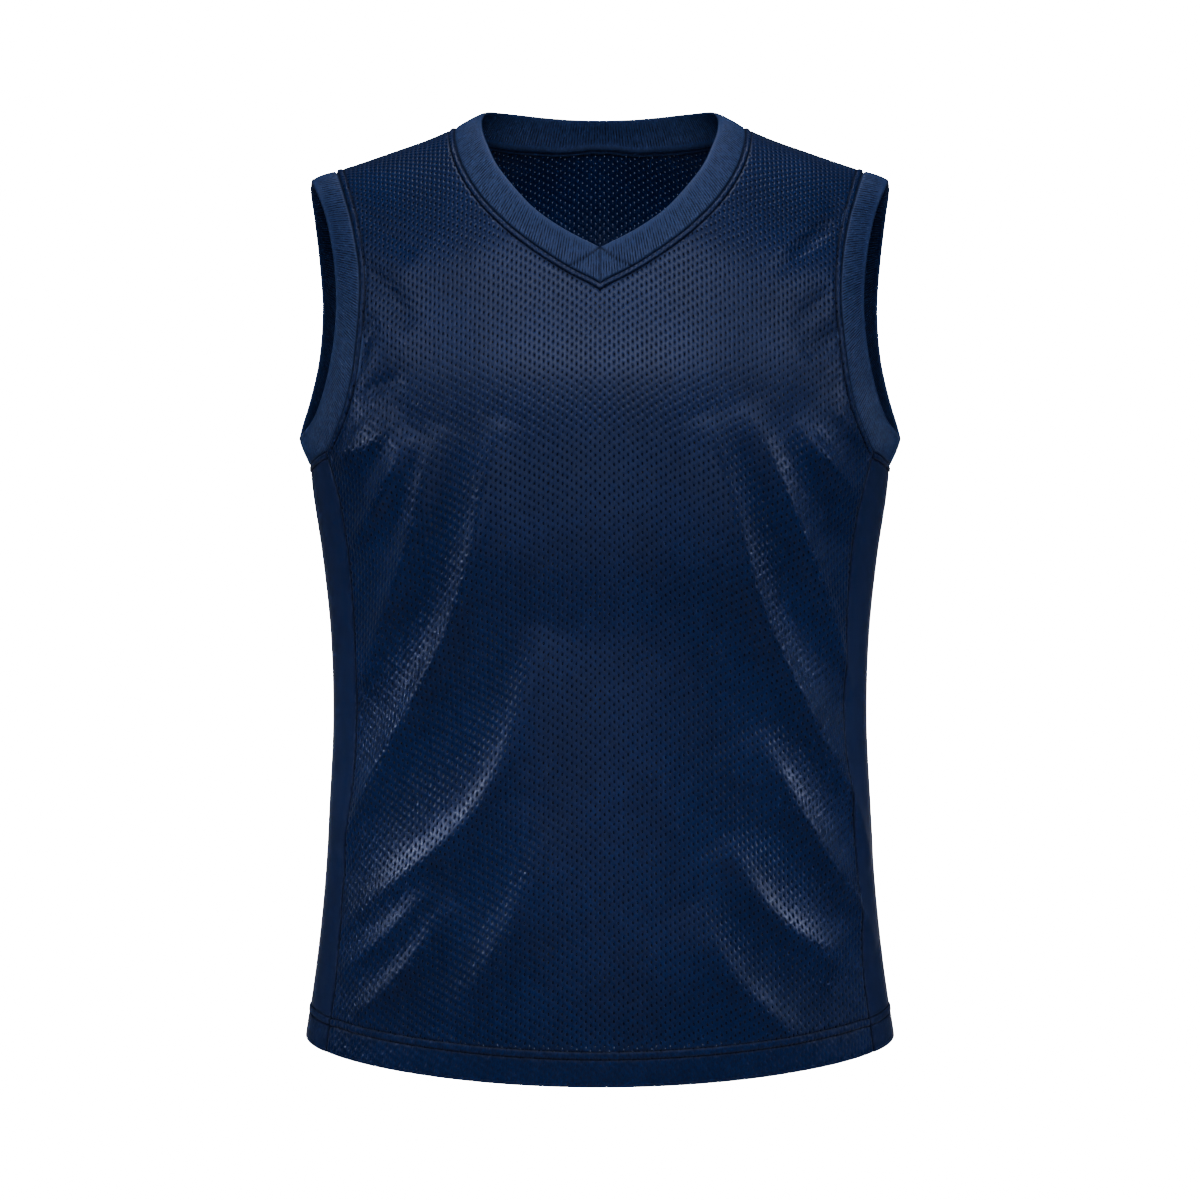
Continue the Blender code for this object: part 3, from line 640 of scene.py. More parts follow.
def panel(name, sign, material):
    main, strip = halfPanel(sign)
    grids = [clothGrid(part, hand) for part in (main, strip) for hand in (1, -1)]
    above = len(panels["hemRows"]) + panels["rowsSide"]
    inFrom = panels["columns"] + len(margin["offsets"]) - 1
    for grid in grids[:2]:
        for height in panels["hemThreads"]:
            keepStitches("hem", grid, panels["hemRows"].index(height), slice(None))
        keepStitches("arms", grid, slice(above, None), inFrom - margin["offsets"].index(margin["armThread"]))
    for grid in grids[2:]:
        keepStitches("neck", grid, slice(None), margin["offsets"].index(margin["neckThread"]))
    return gridPiece(name, grids, material, panels["wall"])


# side panels
sidePanels = {
    "wall": 0.0009,
    "columns": 34,
    "rows": 110,
    "near": (0, 0.0004, 0.0009, 0.0015, 0.0024, 0.0036),
    "flat": 0.025,  # height above the hem over which the lower edge keeps its form
    "dense": 61,  # steps that measure a row's length
}


# share of a row's bearing at each of its columns, and their distance from the front seam
def sideColumns(reach, dense):
    near, wide = np.array(sidePanels["near"]), reach[-1]
    between = np.linspace(near[-1], wide - near[-1], sidePanels["columns"] + 1)[1:-1]
    u = np.interp(np.concatenate([near, between, wide - near[::-1]]), reach, dense)
    return u, np.interp(u, dense, reach)


def sidePanel(name, hand, material):
    low, high = float(hemAt(sideAt(seams["hemZ"]))), seams["cornerZ"]
    hemTop = low + sidePanels["flat"]
    above = np.linspace(low + panels["hemTop"], high - margin["offsets"][-1], sidePanels["rows"])
    tops = high - np.array(margin["offsets"])[-2::-1]
    z = np.concatenate([low + np.array(panels["hemRows"]), above, tops])[:, None]

    def sheetAt(u):
        dip = np.sin(math.pi * np.clip(u, 0, 1)) ** seams["cornerRound"]
        v = np.clip((z - hemTop) / (high - hemTop), 0, 1)
        height = z + dip * ((seams["hemZ"] - low) * (1 - v) - seams["cornerDrop"] * v**3)
        return flankBearing(hand, z, u), height

    dense = np.linspace(0, 1, sidePanels["dense"])
    line = onFlank(*sheetAt(np.broadcast_to(dense, (len(z), len(dense)))))
    reach = np.array([lengthsOf(row) for row in line])
    u, length = np.array([sideColumns(row, dense) for row in reach]).transpose(1, 0, 2)
    bearing, height = sheetAt(u)
    bare, normal = onFlank(bearing, height), flankNormal(bearing, height)
    fromSeam = np.minimum(length, reach[:, -1:] - length)
    up, down, stitch = z - low + 0 * u, high - z, margin["armStitch"]
    relief = hemRelief(up) - sideRoll(fromSeam) + seamRelief(down, stitch)
    places = folded(bare, normal, relief)
    cloth = np.stack([length - reach[:, -1:] / 2, height], axis=-1)
    layers = ((up < panels["turnUp"]) | (down < margin["allowance"])).astype(float)
    shadow = np.maximum(hemShadow(up), bump(fromSeam, 0, margin["sideShadow"]))
    shadow = np.maximum(shadow, seamShadow(down, stitch))
    marks = {"layers": layers, "shadow": shadow}
    grid = {"places": places, "normals": normal, "cloth": cloth, "marks": marks}
    for row in panels["hemThreads"]:
        keepStitches("hem", grid, panels["hemRows"].index(row), slice(None))
    keepStitches("arms", grid, len(z) - 1 - margin["offsets"].index(margin["armThread"]), slice(None))
    return gridPiece(name, [grid], material, sidePanels["wall"])


# folded rib bands
bands = {
    "thick": 0.0022,
    "crown": 0.0007,
    "pitch": 0.0023,  # from rib to rib
    "perRib": 4,
    "ribs": 0.00028,
    "mitre": 0.0266,  # length of the crease's foot along the seam
    "mitreEnd": 1.02,
    "creaseDip": (0.0010, 0.0006),  # depth and width
    "endsDip": (0.0010, 0.0005),
    "seamDip": (0.0014, 0.0007),
    "creaseShadow": 0.0007,
    "seamShadow": 0.0008,
    "ribStart": (0.0012, 0.0005),  # where the ribs begin, and how soft
    "ribEnd": (0.0040, 0.0012, 0.85),  # before the fold, how soft, and how much of them goes
    "neckSteps": 240,  # steps along a neck seam, along an armhole seam and below the armhole
    "armSteps": 260,
    "footSteps": 61,
    "firsts": (0, 0.00025, 0.0006, 0.0011, 0.0018),  # the section's rows beside the seam
    "lasts": (0.0045, 0.003, 0.0018),  # and before the fold
    "outSteps": 9,
    "inSteps": 7,
    "inEnd": 0.0006,
    "bend": (90, 60, 30, 0, -30, -60, -90),
    "merge": 0.00001,
    # the allowance behind the panel: into the panel, outwards, and how much painted shade
    "tail": ((0.0006, -0.0028, 0.6), (0.0016, -0.0032, 0.0), (0.0027, -0.0024, 0.2), (0.0041, -0.0019, 0.7),
             (0.0053, -0.0024, 0.0), (0.0064, -0.0021, 0.2), (0.0069, -0.0016, 0.8), (0.0060, -0.0011, 0.0),
             (0.0035, -0.0011, 0.0), (0.0010, -0.0012, 0.0)),
    "neckEdgeFront": ((0, -0.0904, -0.0903), (0.0278, -0.0852, -0.0753), (0.0463, -0.0792, -0.0619),
                      (0.0642, -0.0681, -0.0423), (0.0775, -0.055, -0.0235), (0.0835, -0.0442, -0.0099),
                      (0.0876, -0.0338, 0.0012), (0.0893, -0.0177, 0.0131), (0.0879, 0, 0.0209)),
    "neckEdgeBack": ((0.0879, 0, 0.0209), (0.0833, 0.023, 0.025), (0.074, 0.04, 0.0263),
                     (0.0618, 0.051, 0.0264), (0.0465, 0.059, 0.0257), (0.024, 0.0645, 0.0247),
                     (0, 0.066, 0.0243)),
    "armEdgeFront": ((0.219, 0, -0.0303), (0.2167, -0.011, -0.0347), (0.2073, -0.0245, -0.0581), (0.2008,
                     -0.0388, -0.0843), (0.1967, -0.0513, -0.1194), (0.1968, -0.0573, -0.1447), (0.1997,
                     -0.0579, -0.1679), (0.2059, -0.0517, -0.1935), (0.2146, -0.0366, -0.213), (0.2235,
                     -0.0194, -0.2225), (0.2285, 0, -0.2259)),
    "armEdgeBack": ((0.219, 0, -0.0303), (0.221, 0.014, -0.0355), (0.219, 0.025, -0.0584), (0.2165, 0.038,
                    -0.0876), (0.2146, 0.047, -0.1252), (0.2174, 0.046, -0.1641), (0.2236, 0.035, -0.1964),
                    (0.2276, 0.019, -0.215), (0.2285, 0, -0.2259)),
}


# places on the folded cloth, each with its outward direction, six numbers a row
def lifted(points):
    bare, normal = onBody(points[:, 0], points[:, 1]), bodyNormal(points[:, 0], points[:, 1])
    return np.concatenate([folded(bare, normal), normal], axis=1)


# seam and folded edge of the neck, from the V over the wearer's left shoulder and back round
def neckLoop():
    share = np.linspace(0, 1, bands["neckSteps"])
    left, right = [], []
    for half, hand in ((left, 1), (right, -1)):
        for name in ("neckFront", "neckBack"):
            half.append(lifted(tableCurve(seams[name], share) * (hand, 1)))
    edgeLeft = np.concatenate([tableCurve(bands["neckEdgeFront"], sharesOf(left[0][:, :3])),
                               tableCurve(bands["neckEdgeBack"], sharesOf(left[1][:, :3]))[1:]])
    edgeRight = edgeLeft * (-1, 1, 1)
    left, right = (np.concatenate([half[0], half[1][1:]]) for half in (left, right))
    return np.concatenate([left, right[-2::-1]]), np.concatenate([edgeLeft, edgeRight[-2::-1]])


# seam and folded edge of an armhole, from the shoulder down the front, under the arm and up the back
def armLoop(hand):
    share = np.linspace(0, 1, bands["armSteps"])
    front = lifted(tableCurve(seams["armFront"], share) * (hand, 1))
    back = lifted(tableCurve(seams["armBack"], share) * (hand, 1))
    z, u = seams["cornerZ"], np.linspace(0, 1, bands["footSteps"])
    bearing = flankBearing(hand, z, u)
    height = z - seams["cornerDrop"] * np.sin(math.pi * u) ** seams["cornerRound"]
    foot, normal = onFlank(bearing, height), flankNormal(bearing, height)
    foot = np.concatenate([folded(foot, normal), normal], axis=1)
    seam = np.concatenate([front, foot[1:-1], back[::-1]])
    half = len(front) + len(foot) // 2
    edgeFront = tableCurve(bands["armEdgeFront"], sharesOf(seam[:half, :3]))
    edgeBack = tableCurve(bands["armEdgeBack"], sharesOf(seam[half - 1 :, :3][::-1]))[::-1]
    edge = np.concatenate([edgeFront, edgeBack[1:]]) * (hand, 1, 1)
    return (seam, edge) if hand > 0 else (seam[::-1], edge[::-1])


# points at equal steps along the first line, and beside them on the others
def evenly(lines, count):
    length = lengthsOf(lines[0][:, :3])
    at = np.linspace(0, length[-1], count + 1)
    return at, [np.stack([np.interp(at, length, column) for column in line.T], axis=-1) for line in lines]


# a band's section, out from the seam, round the fold and back inside: away from the seam, level,
# and which way each row faces, 1 out and -1 in
def bandSection(width):
    radius, firsts, lasts = bands["thick"] / 2, bands["firsts"], bands["lasts"]
    between, even = width - lasts[0] - firsts[-1], 0 * width
    away = [even + value for value in firsts]
    away += [firsts[-1] + between * share for share in np.linspace(0, 1, bands["outSteps"])[1:]]
    away += [width - value for value in lasts[1:]]
    bend = [math.radians(angle) for angle in bands["bend"]]
    fold = [width - radius + radius * math.cos(angle) for angle in bend]
    inside = [firsts[-1] + between * share for share in np.linspace(1, 0, bands["inSteps"])]
    inside += [even + bands["inEnd"]]
    level = [even] * len(away) + [even + (radius * math.sin(angle) - radius) for angle in bend]
    level += [even - 2 * radius] * len(inside)
    facing = [1.0] * len(away) + [math.sin(angle) for angle in bend] + [-1.0] * len(inside)
    return np.array(away + fold + inside), np.array(level), np.array(facing)[:, None]


# depth and shadow of the mitre at the V: two diagonal creases, and the seam of the strip's two ends
def mitreDip(fromV, width, away, facing):
    foot = bands["mitre"]
    crease = np.abs(fromV * width + away * foot - foot * width) / np.hypot(width, foot)
    onBand = (facing > 0.5) * (fromV < foot * bands["mitreEnd"])
    (deep, wide), (endDeep, endWide) = bands["creaseDip"], bands["endsDip"]
    ends = bump(fromV, 0, endWide)
    dip = deep * bump(crease, 0, wide) * onBand + facing * endDeep * ends
    return dip, np.maximum(bump(crease, 0, bands["creaseShadow"]) * onBand, 0.9 * ends * (facing > 0))


def ribBand(name, loop, material, isNeck):
    total = np.linalg.norm(np.diff(loop[0][:, :3], axis=0), axis=-1).sum()
    ribs = round(total / bands["pitch"])
    s, (seam, edge) = evenly(loop, ribs * bands["perRib"])
    seam, panelOut = seam[:, :3], unit(seam[:, 3:])
    forward, alongSeam = np.gradient(seam, axis=0) + np.gradient(edge, axis=0), np.gradient(seam, axis=0)
    if not isNeck:
        forward[0] = forward[-1] = (seam[1] - seam[-2]) + (edge[1] - edge[-2])
        alongSeam[0] = alongSeam[-1] = seam[1] - seam[-2]
    out = unit(np.cross(forward, edge - seam))
    intoPanel = unit(np.cross(panelOut, alongSeam))
    intoPanel *= -np.sign((intoPanel * (edge - seam)).sum(-1))[:, None]
    width = np.linalg.norm(edge - seam, axis=-1)
    toEdge = (edge - seam) / width[:, None]
    away, level, facing = bandSection(width)
    crown = bands["crown"] * np.sin(math.pi * np.clip(away / width, 0, 1))
    before, soft, lost = bands["ribEnd"]
    ribFade = step(away, *bands["ribStart"]) * (1 - lost * step(away, width - before, soft))
    rib = np.cos(2 * math.pi * s / bands["pitch"] * (ribs * bands["pitch"] / s[-1])) * bands["ribs"]
    deep, wide = bands["seamDip"]
    relief = crown + rib * ribFade * facing - deep * bump(away, 0, wide) * (facing > 0.5)
    shadow = bump(away, 0, bands["seamShadow"]) * (facing > 0.5)
    if isNeck:
        dip, dark = mitreDip(np.minimum(s, s[-1] - s), width, away, facing)
        relief, shadow = relief - dip, np.maximum(shadow, dark)
    places = seam + toEdge * away[..., None] + out * (level + relief)[..., None]
    tail = np.array(bands["tail"])[:, :, None, None]
    tailPlaces = seam + intoPanel * tail[:, 0] + panelOut * tail[:, 1]
    places = np.concatenate([places, tailPlaces, places[:1]])
    tailFacing = np.repeat([-1.0, 1.0], len(tail) // 2)[:, None]
    allFacing = np.concatenate([facing, tailFacing, facing[:1]])[..., None]
    normal = np.concatenate([np.broadcast_to(out, (len(away), *out.shape)),
                             np.broadcast_to(panelOut, tailPlaces.shape), out[None]])
    normal = normal * allFacing + (1 - np.abs(allFacing)) * toEdge
    upBand = np.concatenate([away, -tail[:, 0, :, 0] + 0 * s, away[:1]])
    cloth = np.stack(np.broadcast_arrays(s * ribs * bands["pitch"] / s[-1], upBand), axis=-1)
    none = np.zeros((len(tail), len(s)))
    marks = {"layers": np.ones(cloth.shape[:2]), "ribs": np.concatenate([ribFade, none, ribFade[:1]]),
             "shadow": np.concatenate([shadow, none + tail[:, 2, :, 0], shadow[:1]])}
    grid = {"places": places, "normals": normal, "cloth": cloth, "marks": marks}
    return gridPiece(name, [grid], material, None, bands["merge"])


# stitches
stitches = {
    "length": 0.0023,
    "pitch": 0.0030,
    "thick": 0.00042,
    "out": 0.4,  # share of its thickness that a thread lies out of the cloth
    "round": (6, 4),  # segments round a thread and along it
}


# small thread capsules along lines of places on the cloth, each with its normals
def stitchRow(name, lines, material):
    mesh = bpy.data.meshes.new(name)
    whole = bmesh.new()
    around, lengthwise = stitches["round"]
    size = Matrix.Diagonal((stitches["length"] / 2, stitches["thick"] / 2, stitches["thick"] / 2, 1))
    for places, normals in lines:
        work = bmesh.new()
        count = int(np.linalg.norm(np.diff(places, axis=0), axis=-1).sum() / stitches["pitch"])
        spots, ups = evenly([places, normals], count)[1]
        for k in range(count):
            way = Vector(spots[k + 1] - spots[k]).normalized()
            up = Vector(ups[k]).normalized()
            side = up.cross(way).normalized()
            turn = Matrix((way, side, up)).transposed().to_4x4()
            centre = Vector((spots[k] + spots[k + 1]) / 2) + up * stitches["thick"] * stitches["out"]
            bmesh.ops.create_uvsphere(work, u_segments=around, v_segments=lengthwise, radius=1,
                                      matrix=Matrix.Translation(centre) @ turn @ size)
        work.to_mesh(mesh)
        work.free()
        whole.from_mesh(mesh)
    whole.to_mesh(mesh)
    whole.free()
    mesh.shade_smooth()
    mesh.materials.append(material)
    piece = newObject(name, mesh)
    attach(piece, "root")


# cloth materials
looks = {
    "navy": (0.0030, 0.0145, 0.0820),
    "navyRib": (0.0180, 0.0415, 0.1480),
    "thread": (0.0012, 0.0035, 0.0140),
    "gloss": 0.5,
    "glossTint": (0.60, 0.69, 1.0, 1),
    "sheenRough": 0.4,
    "sheenTint": (0.25, 0.40, 1.0, 1),
    "seamShade": 0.8,  # painted shade: how much darker the cloth is drawn in its seams, and how much duller it is there
    "seamDull": 0.5,
    "puckers": 230,  # waves a metre
}


# links a socket or sets its value
def give(tree, socket, value):
    if isinstance(value, bpy.types.NodeSocket):
        tree.links.new(value, socket)
    else:
        socket.default_value = value


def nodeWith(tree, kind, inputs):
    node = tree.nodes.new(kind)
    for label, value in inputs.items():
        give(tree, node.inputs[label], value)
    return node


def calc(tree, operation, *values, clamp=False):
    node = tree.nodes.new("ShaderNodeMath")
    node.operation = operation
    node.use_clamp = clamp
    for socket, value in zip(node.inputs, values):
        give(tree, socket, value)
    return node.outputs[0]


def times(tree, first, second):
    return calc(tree, "MULTIPLY", first, second)


def plus(tree, first, second, clamp=False):
    return calc(tree, "ADD", first, second, clamp=clamp)


def minus(tree, first, second, clamp=False):
    return calc(tree, "SUBTRACT", first, second, clamp=clamp)


def splitOf(tree, vector):
    split = tree.nodes.new("ShaderNodeSeparateXYZ")
    tree.links.new(vector, split.inputs[0])
    return split.outputs


def easeBetween(tree, value, low, high, fromLow=0.0, fromHigh=1.0):
    node = nodeWith(tree, "ShaderNodeMapRange", {"Value": value, "From Min": low, "From Max": high,
                                                 "To Min": fromLow, "To Max": fromHigh})
    node.interpolation_type = "SMOOTHSTEP"
    return node.outputs["Result"]


# a group that takes the cloth's coordinates and some numbers, and gives numbers
def newGroup(name, numbers, results):
    tree = bpy.data.node_groups.new(name, "ShaderNodeTree")
    tree.interface.new_socket(name="Cloth", in_out="INPUT", socket_type="NodeSocketVector")
    for label, value in numbers.items():
        socket = tree.interface.new_socket(name=label, in_out="INPUT", socket_type="NodeSocketFloat")
        socket.default_value = value
    for label in results:
        tree.interface.new_socket(name=label, in_out="OUTPUT", socket_type="NodeSocketFloat")
    return tree, tree.nodes.new("NodeGroupInput").outputs, tree.nodes.new("NodeGroupOutput").inputs


def noiseOn(tree, vector, scale, detail=1.0):
    node = nodeWith(tree, "ShaderNodeTexNoise", {"Vector": vector, "Scale": scale, "Detail": detail,
                                                 "Roughness": 0.5})
    node.noise_dimensions = "2D"
    return node.outputs["Fac"]


def stretched(tree, vector, turn, scale):
    node = nodeWith(tree, "ShaderNodeMapping", {"Vector": vector, "Rotation": (0, 0, math.radians(turn)),
                                                "Scale": (*scale, 1)})
    return node.outputs["Vector"]


eyeletLook = {
    "sizes": {"Pitch Across": 0.0068, "Pitch Up": 0.0062, "Hole Width": 0.00125, "Hole Height": 0.0022},
    "ways": (("X", "Pitch Across", "Hole Width"), ("Y", "Pitch Up", "Hole Height")),
    "sway": (0.0011, -0.0009),  # how far the lattice strays, across and up
    "swayScale": 90,
    "edges": {"Hole": (0.7, 1.2, 1.0, 0.0), "Core": (0.35, 0.95, 1.0, 0.0), "Relief": (0.8, 2.4)},
}


def eyeletGroup():
    tree, given, result = newGroup("eyelet lattice", eyeletLook["sizes"], eyeletLook["edges"])
    split = splitOf(tree, given["Cloth"])
    sway = minus(tree, noiseOn(tree, given["Cloth"], eyeletLook["swayScale"]), 0.5)
    ways = []
    for (axis, pitch, hole), stray in zip(eyeletLook["ways"], eyeletLook["sway"]):
        place = plus(tree, split[axis], times(tree, sway, stray))
        size = calc(tree, "DIVIDE", given[pitch], times(tree, given[hole], 0.5))
        ways.append((calc(tree, "DIVIDE", place, given[pitch]), size))
    reach = []
    for shift in (0.0, 0.5):  # the second lattice lies between the first one's holes
        squares = []
        for place, size in ways:
            cell = calc(tree, "FRACT", plus(tree, place, shift))
            offset = times(tree, minus(tree, cell, 0.5), size)
            squares.append(times(tree, offset, offset))
        reach.append(calc(tree, "SQRT", plus(tree, *squares)))
    nearest = calc(tree, "MINIMUM", *reach)
    for label, edge in eyeletLook["edges"].items():
        tree.links.new(easeBetween(tree, nearest, *edge), result[label])
    return tree


yarnLook = {
    "slant": (32, -32),  # degrees, of the loops' two sides
    "strokes": (1050, 430),
    "between": (0.38, 0.72),
}


# fine loops of the knit: slanting strokes of light and dark, and their height
def yarnGroup():
    tree, given, result = newGroup("yarn", {"Size": 1.0}, ("Shade", "Height"))
    grown = tree.nodes.new("ShaderNodeVectorMath")
    grown.operation = "SCALE"
    tree.links.new(given["Cloth"], grown.inputs[0])
    tree.links.new(given["Size"], grown.inputs["Scale"])
    sides = [noiseOn(tree, stretched(tree, grown.outputs[0], turn, yarnLook["strokes"]), 1.0)
             for turn in yarnLook["slant"]]
    both = calc(tree, "MAXIMUM", *sides)
    tree.links.new(easeBetween(tree, both, *yarnLook["between"]), result["Shade"])
    tree.links.new(both, result["Height"])
    return tree


def mixColour(tree, factor, first, second, blend="MIX"):
    node = tree.nodes.new("ShaderNodeMix")
    node.data_type = "RGBA"
    node.blend_type = blend
    for label, kind, value in (("Factor", "VALUE", factor), ("A", "RGBA", first), ("B", "RGBA", second)):
        socket = next(s for s in node.inputs if s.name == label and s.type == kind)
        isLink = isinstance(value, bpy.types.NodeSocket)
        give(tree, socket, value if isLink or label == "Factor" else (*value, 1))
    return next(s for s in node.outputs if s.type == "RGBA")


def toned(colour, share):
    return [part * share for part in colour]


def newMaterial(name, colour, roughness, sheen, gloss=looks["gloss"]):
    finish = bpy.data.materials.new(name)
    finish.use_nodes = True
    tree = finish.node_tree
    shader = tree.nodes["Principled BSDF"]
    given = {"Base Color": (*colour, 1), "Roughness": roughness, "Specular IOR Level": gloss,
             "Specular Tint": looks["glossTint"], "Sheen Weight": sheen,
             "Sheen Roughness": looks["sheenRough"], "Sheen Tint": looks["sheenTint"]}
    for label, value in given.items():
        shader.inputs[label].default_value = value
    finish.diffuse_color = (*colour, 1)
    cloth = tree.nodes.new("ShaderNodeUVMap")
    cloth.uv_map = "cloth"
    return finish, tree, shader, cloth.outputs["UV"]


def markOn(tree, name):
    node = tree.nodes.new("ShaderNodeAttribute")
    node.attribute_name = name
    return node.outputs["Fac"]


# a shared group with the cloth's coordinates
def groupOn(tree, group, cloth):
    node = tree.nodes.new("ShaderNodeGroup")
    node.node_tree = group
    tree.links.new(cloth, node.inputs["Cloth"])
    return node


# painted shade: cloth colour darkened by the shadow mark in its seams, hem lines and creases; the cloth is
# also made duller there
def seamShadeAndDull(tree, shader, shade, roughness):
    shadow = markOn(tree, "shadow")
    dark = grey(tree, minus(tree, 1.0, times(tree, shadow, looks["seamShade"])))
    tree.links.new(mixColour(tree, 1.0, shade, dark, "MULTIPLY"), shader.inputs["Base Color"])
    dull = plus(tree, roughness, times(tree, shadow, looks["seamDull"]), clamp=True)
    tree.links.new(dull, shader.inputs["Roughness"])


def grey(tree, value):
    node = tree.nodes.new("ShaderNodeCombineColor")
    for socket in node.inputs[:3]:
        tree.links.new(value, socket)
    return node.outputs[0]


# the knit's loops in two tones of its colour, and what the yarn group gives
def knitted(tree, yarn, cloth, look, colour):
    loops = groupOn(tree, yarn, cloth)
    loops.inputs["Size"].default_value = look["size"]
    tones = (toned(colour, share) for share in look["tones"])
    return mixColour(tree, loops.outputs["Shade"], *tones), loops.outputs


# small waves of the cloth where it is sewn in layers
def puckers(tree, cloth):
    return times(tree, noiseOn(tree, cloth, looks["puckers"]), markOn(tree, "layers"))


def bumpFrom(tree, shader, height, distance):
    node = nodeWith(tree, "ShaderNodeBump", {"Distance": distance, "Strength": 1.0, "Height": height})
    tree.links.new(node.outputs["Normal"], shader.inputs["Normal"])


meshLook = {
    "tones": (0.75, 1.2),
    "size": 1.0,
    "patches": (22, 3.0),  # broad unevenness of the dye: how many a metre, and detail
    "patchEdges": (0.3, 0.7, 0.9, 1.1),
    # painted shade: near-black colour over each eyelet and its rim, standing for the shaded inside seen
    # through it
    "hole": (0.0008, 0.0016, 0.006),
    "filled": 0.75,  # how much of the eyelets goes where the cloth is doubled
    "rough": (0.28, 0.08, 0.65),  # of the yarn, its lighter loops and the eyelets
    "open": 0.8,  # how much shows through an eyelet
    "relief": (0.75, 0.35),
    "deep": 0.00035,
}


def meshKnit(eyelets, yarn):
    finish, tree, shader, cloth = newMaterial("navy mesh knit", looks["navy"], 0.35, 0.04)
    holes = groupOn(tree, eyelets, cloth)
    shade, loops = knitted(tree, yarn, cloth, meshLook, looks["navy"])
    layers = markOn(tree, "layers")
    hole = times(tree, holes.outputs["Hole"], minus(tree, 1.0, times(tree, layers, meshLook["filled"])))
    patch = easeBetween(tree, noiseOn(tree, cloth, *meshLook["patches"]), *meshLook["patchEdges"])
    shade = mixColour(tree, 1.0, shade, grey(tree, patch), "MULTIPLY")
    # painted shade: eyelets drawn near-black
    shade = mixColour(tree, hole, shade, meshLook["hole"])
    yarnRough, loopRough, holeRough = meshLook["rough"]
    rough = plus(tree, yarnRough, times(tree, loops["Shade"], loopRough))
    seamShadeAndDull(tree, shader, shade, plus(tree, rough, times(tree, hole, holeRough)))
    through = times(tree, holes.outputs["Core"], minus(tree, 1.0, layers, clamp=True))
    tree.links.new(minus(tree, 1.0, times(tree, through, meshLook["open"])), shader.inputs["Alpha"])
    ofHoles, ofYarn = meshLook["relief"]
    height = plus(tree, times(tree, holes.outputs["Relief"], ofHoles), times(tree, loops["Height"], ofYarn))
    bumpFrom(tree, shader, plus(tree, height, puckers(tree, cloth)), meshLook["deep"])
    return finish


plainLook = {"tones": (0.85, 1.1), "size": 1.5, "rough": 0.4, "relief": 0.3, "deep": 0.00033}


def plainKnit(yarn):
    finish, tree, shader, cloth = newMaterial("navy plain knit", looks["navy"], plainLook["rough"], 0.04)
    shade, loops = knitted(tree, yarn, cloth, plainLook, looks["navy"])
    seamShadeAndDull(tree, shader, shade, plainLook["rough"])
    height = plus(tree, times(tree, loops["Height"], plainLook["relief"]), puckers(tree, cloth))
    bumpFrom(tree, shader, height, plainLook["deep"])
    return finish


ribLook = {
    "tones": (0.85, 1.4),
    "size": 1.2,
    "gloss": 0.6,
    "valley": (-1.0, 0.1, 1.0, 0.0),
    "breaks": (500, 160),  # how often the valleys are broken, along and across
    "breakEdges": (0.35, 0.6, 0.35, 1.0),
    # painted shade: rib valleys darkened to a tenth of the band's colour
    "valleyShade": 0.1,
    "rough": (0.42, 0.45),  # of the yarn and of the valleys
    "relief": 0.5,
    "deep": 0.00022,
}


def ribKnit(yarn):
    navy = looks["navyRib"]
    finish, tree, shader, cloth = newMaterial("navy rib knit", navy, 0.5, 0.08, ribLook["gloss"])
    shade, loops = knitted(tree, yarn, cloth, ribLook, navy)
    wave = calc(tree, "COSINE", times(tree, splitOf(tree, cloth)["X"], 2 * math.pi / bands["pitch"]))
    valley = times(tree, easeBetween(tree, wave, *ribLook["valley"]), markOn(tree, "ribs"))
    noise = noiseOn(tree, stretched(tree, cloth, 0, ribLook["breaks"]), 1.0)
    valley = times(tree, valley, easeBetween(tree, noise, *ribLook["breakEdges"]))
    # painted shade in the rib valleys
    shade = mixColour(tree, valley, shade, toned(navy, ribLook["valleyShade"]))
    yarnRough, valleyRough = ribLook["rough"]
    seamShadeAndDull(tree, shader, shade, plus(tree, yarnRough, times(tree, valley, valleyRough)))
    raised, sunk = (times(tree, value, ribLook["relief"]) for value in (loops["Height"], valley))
    bumpFrom(tree, shader, minus(tree, raised, sunk), ribLook["deep"])
    return finish


threadLook = {"tones": (0.7, 1.3), "gloss": 0.15, "rough": 0.7, "slant": 30, "twist": (2500, 2500)}


def threadFinish():
    colour = looks["thread"]
    finish, tree, shader = newMaterial("navy sewing thread", colour, threadLook["rough"], 0.0,
                                       threadLook["gloss"])[:3]
    where = tree.nodes.new("ShaderNodeTexCoord").outputs["Object"]
    twist = noiseOn(tree, stretched(tree, where, threadLook["slant"], threadLook["twist"]), 1.0)
    shade = mixColour(tree, twist, *(toned(colour, share) for share in threadLook["tones"]))
    tree.links.new(shade, shader.inputs["Base Color"])
    return finish


eyelets, yarn = eyeletGroup(), yarnGroup()
meshFinish, plainFinish, ribFinish = meshKnit(eyelets, yarn), plainKnit(yarn), ribKnit(yarn)
sewing = threadFinish()
print("materials made")

front = panel("front_panel_cloth", -1, meshFinish)
back = panel("back_panel_cloth", 1, meshFinish)
print("front and back made")
sideLeft = sidePanel("side_panel_left_cloth", 1, plainFinish)
sideRight = sidePanel("side_panel_right_cloth", -1, plainFinish)
print("side panels made")
neck = ribBand("neck_band_cloth", neckLoop(), ribFinish, True)
armLeft = ribBand("arm_band_left_cloth", armLoop(1), ribFinish, False)
armRight = ribBand("arm_band_right_cloth", armLoop(-1), ribFinish, False)
print("bands made")
for kind, lines in stitchLines.items():
    stitchRow(kind + "_stitches", lines, sewing)
print("stitches made")


def areaOf(piece):
    return sum(face.area for face in piece.data.polygons)


for piece in (front, back, sideLeft, sideRight, neck, armLeft, armRight):
    print(piece.name, len(piece.data.polygons), round(areaOf(piece), 4))

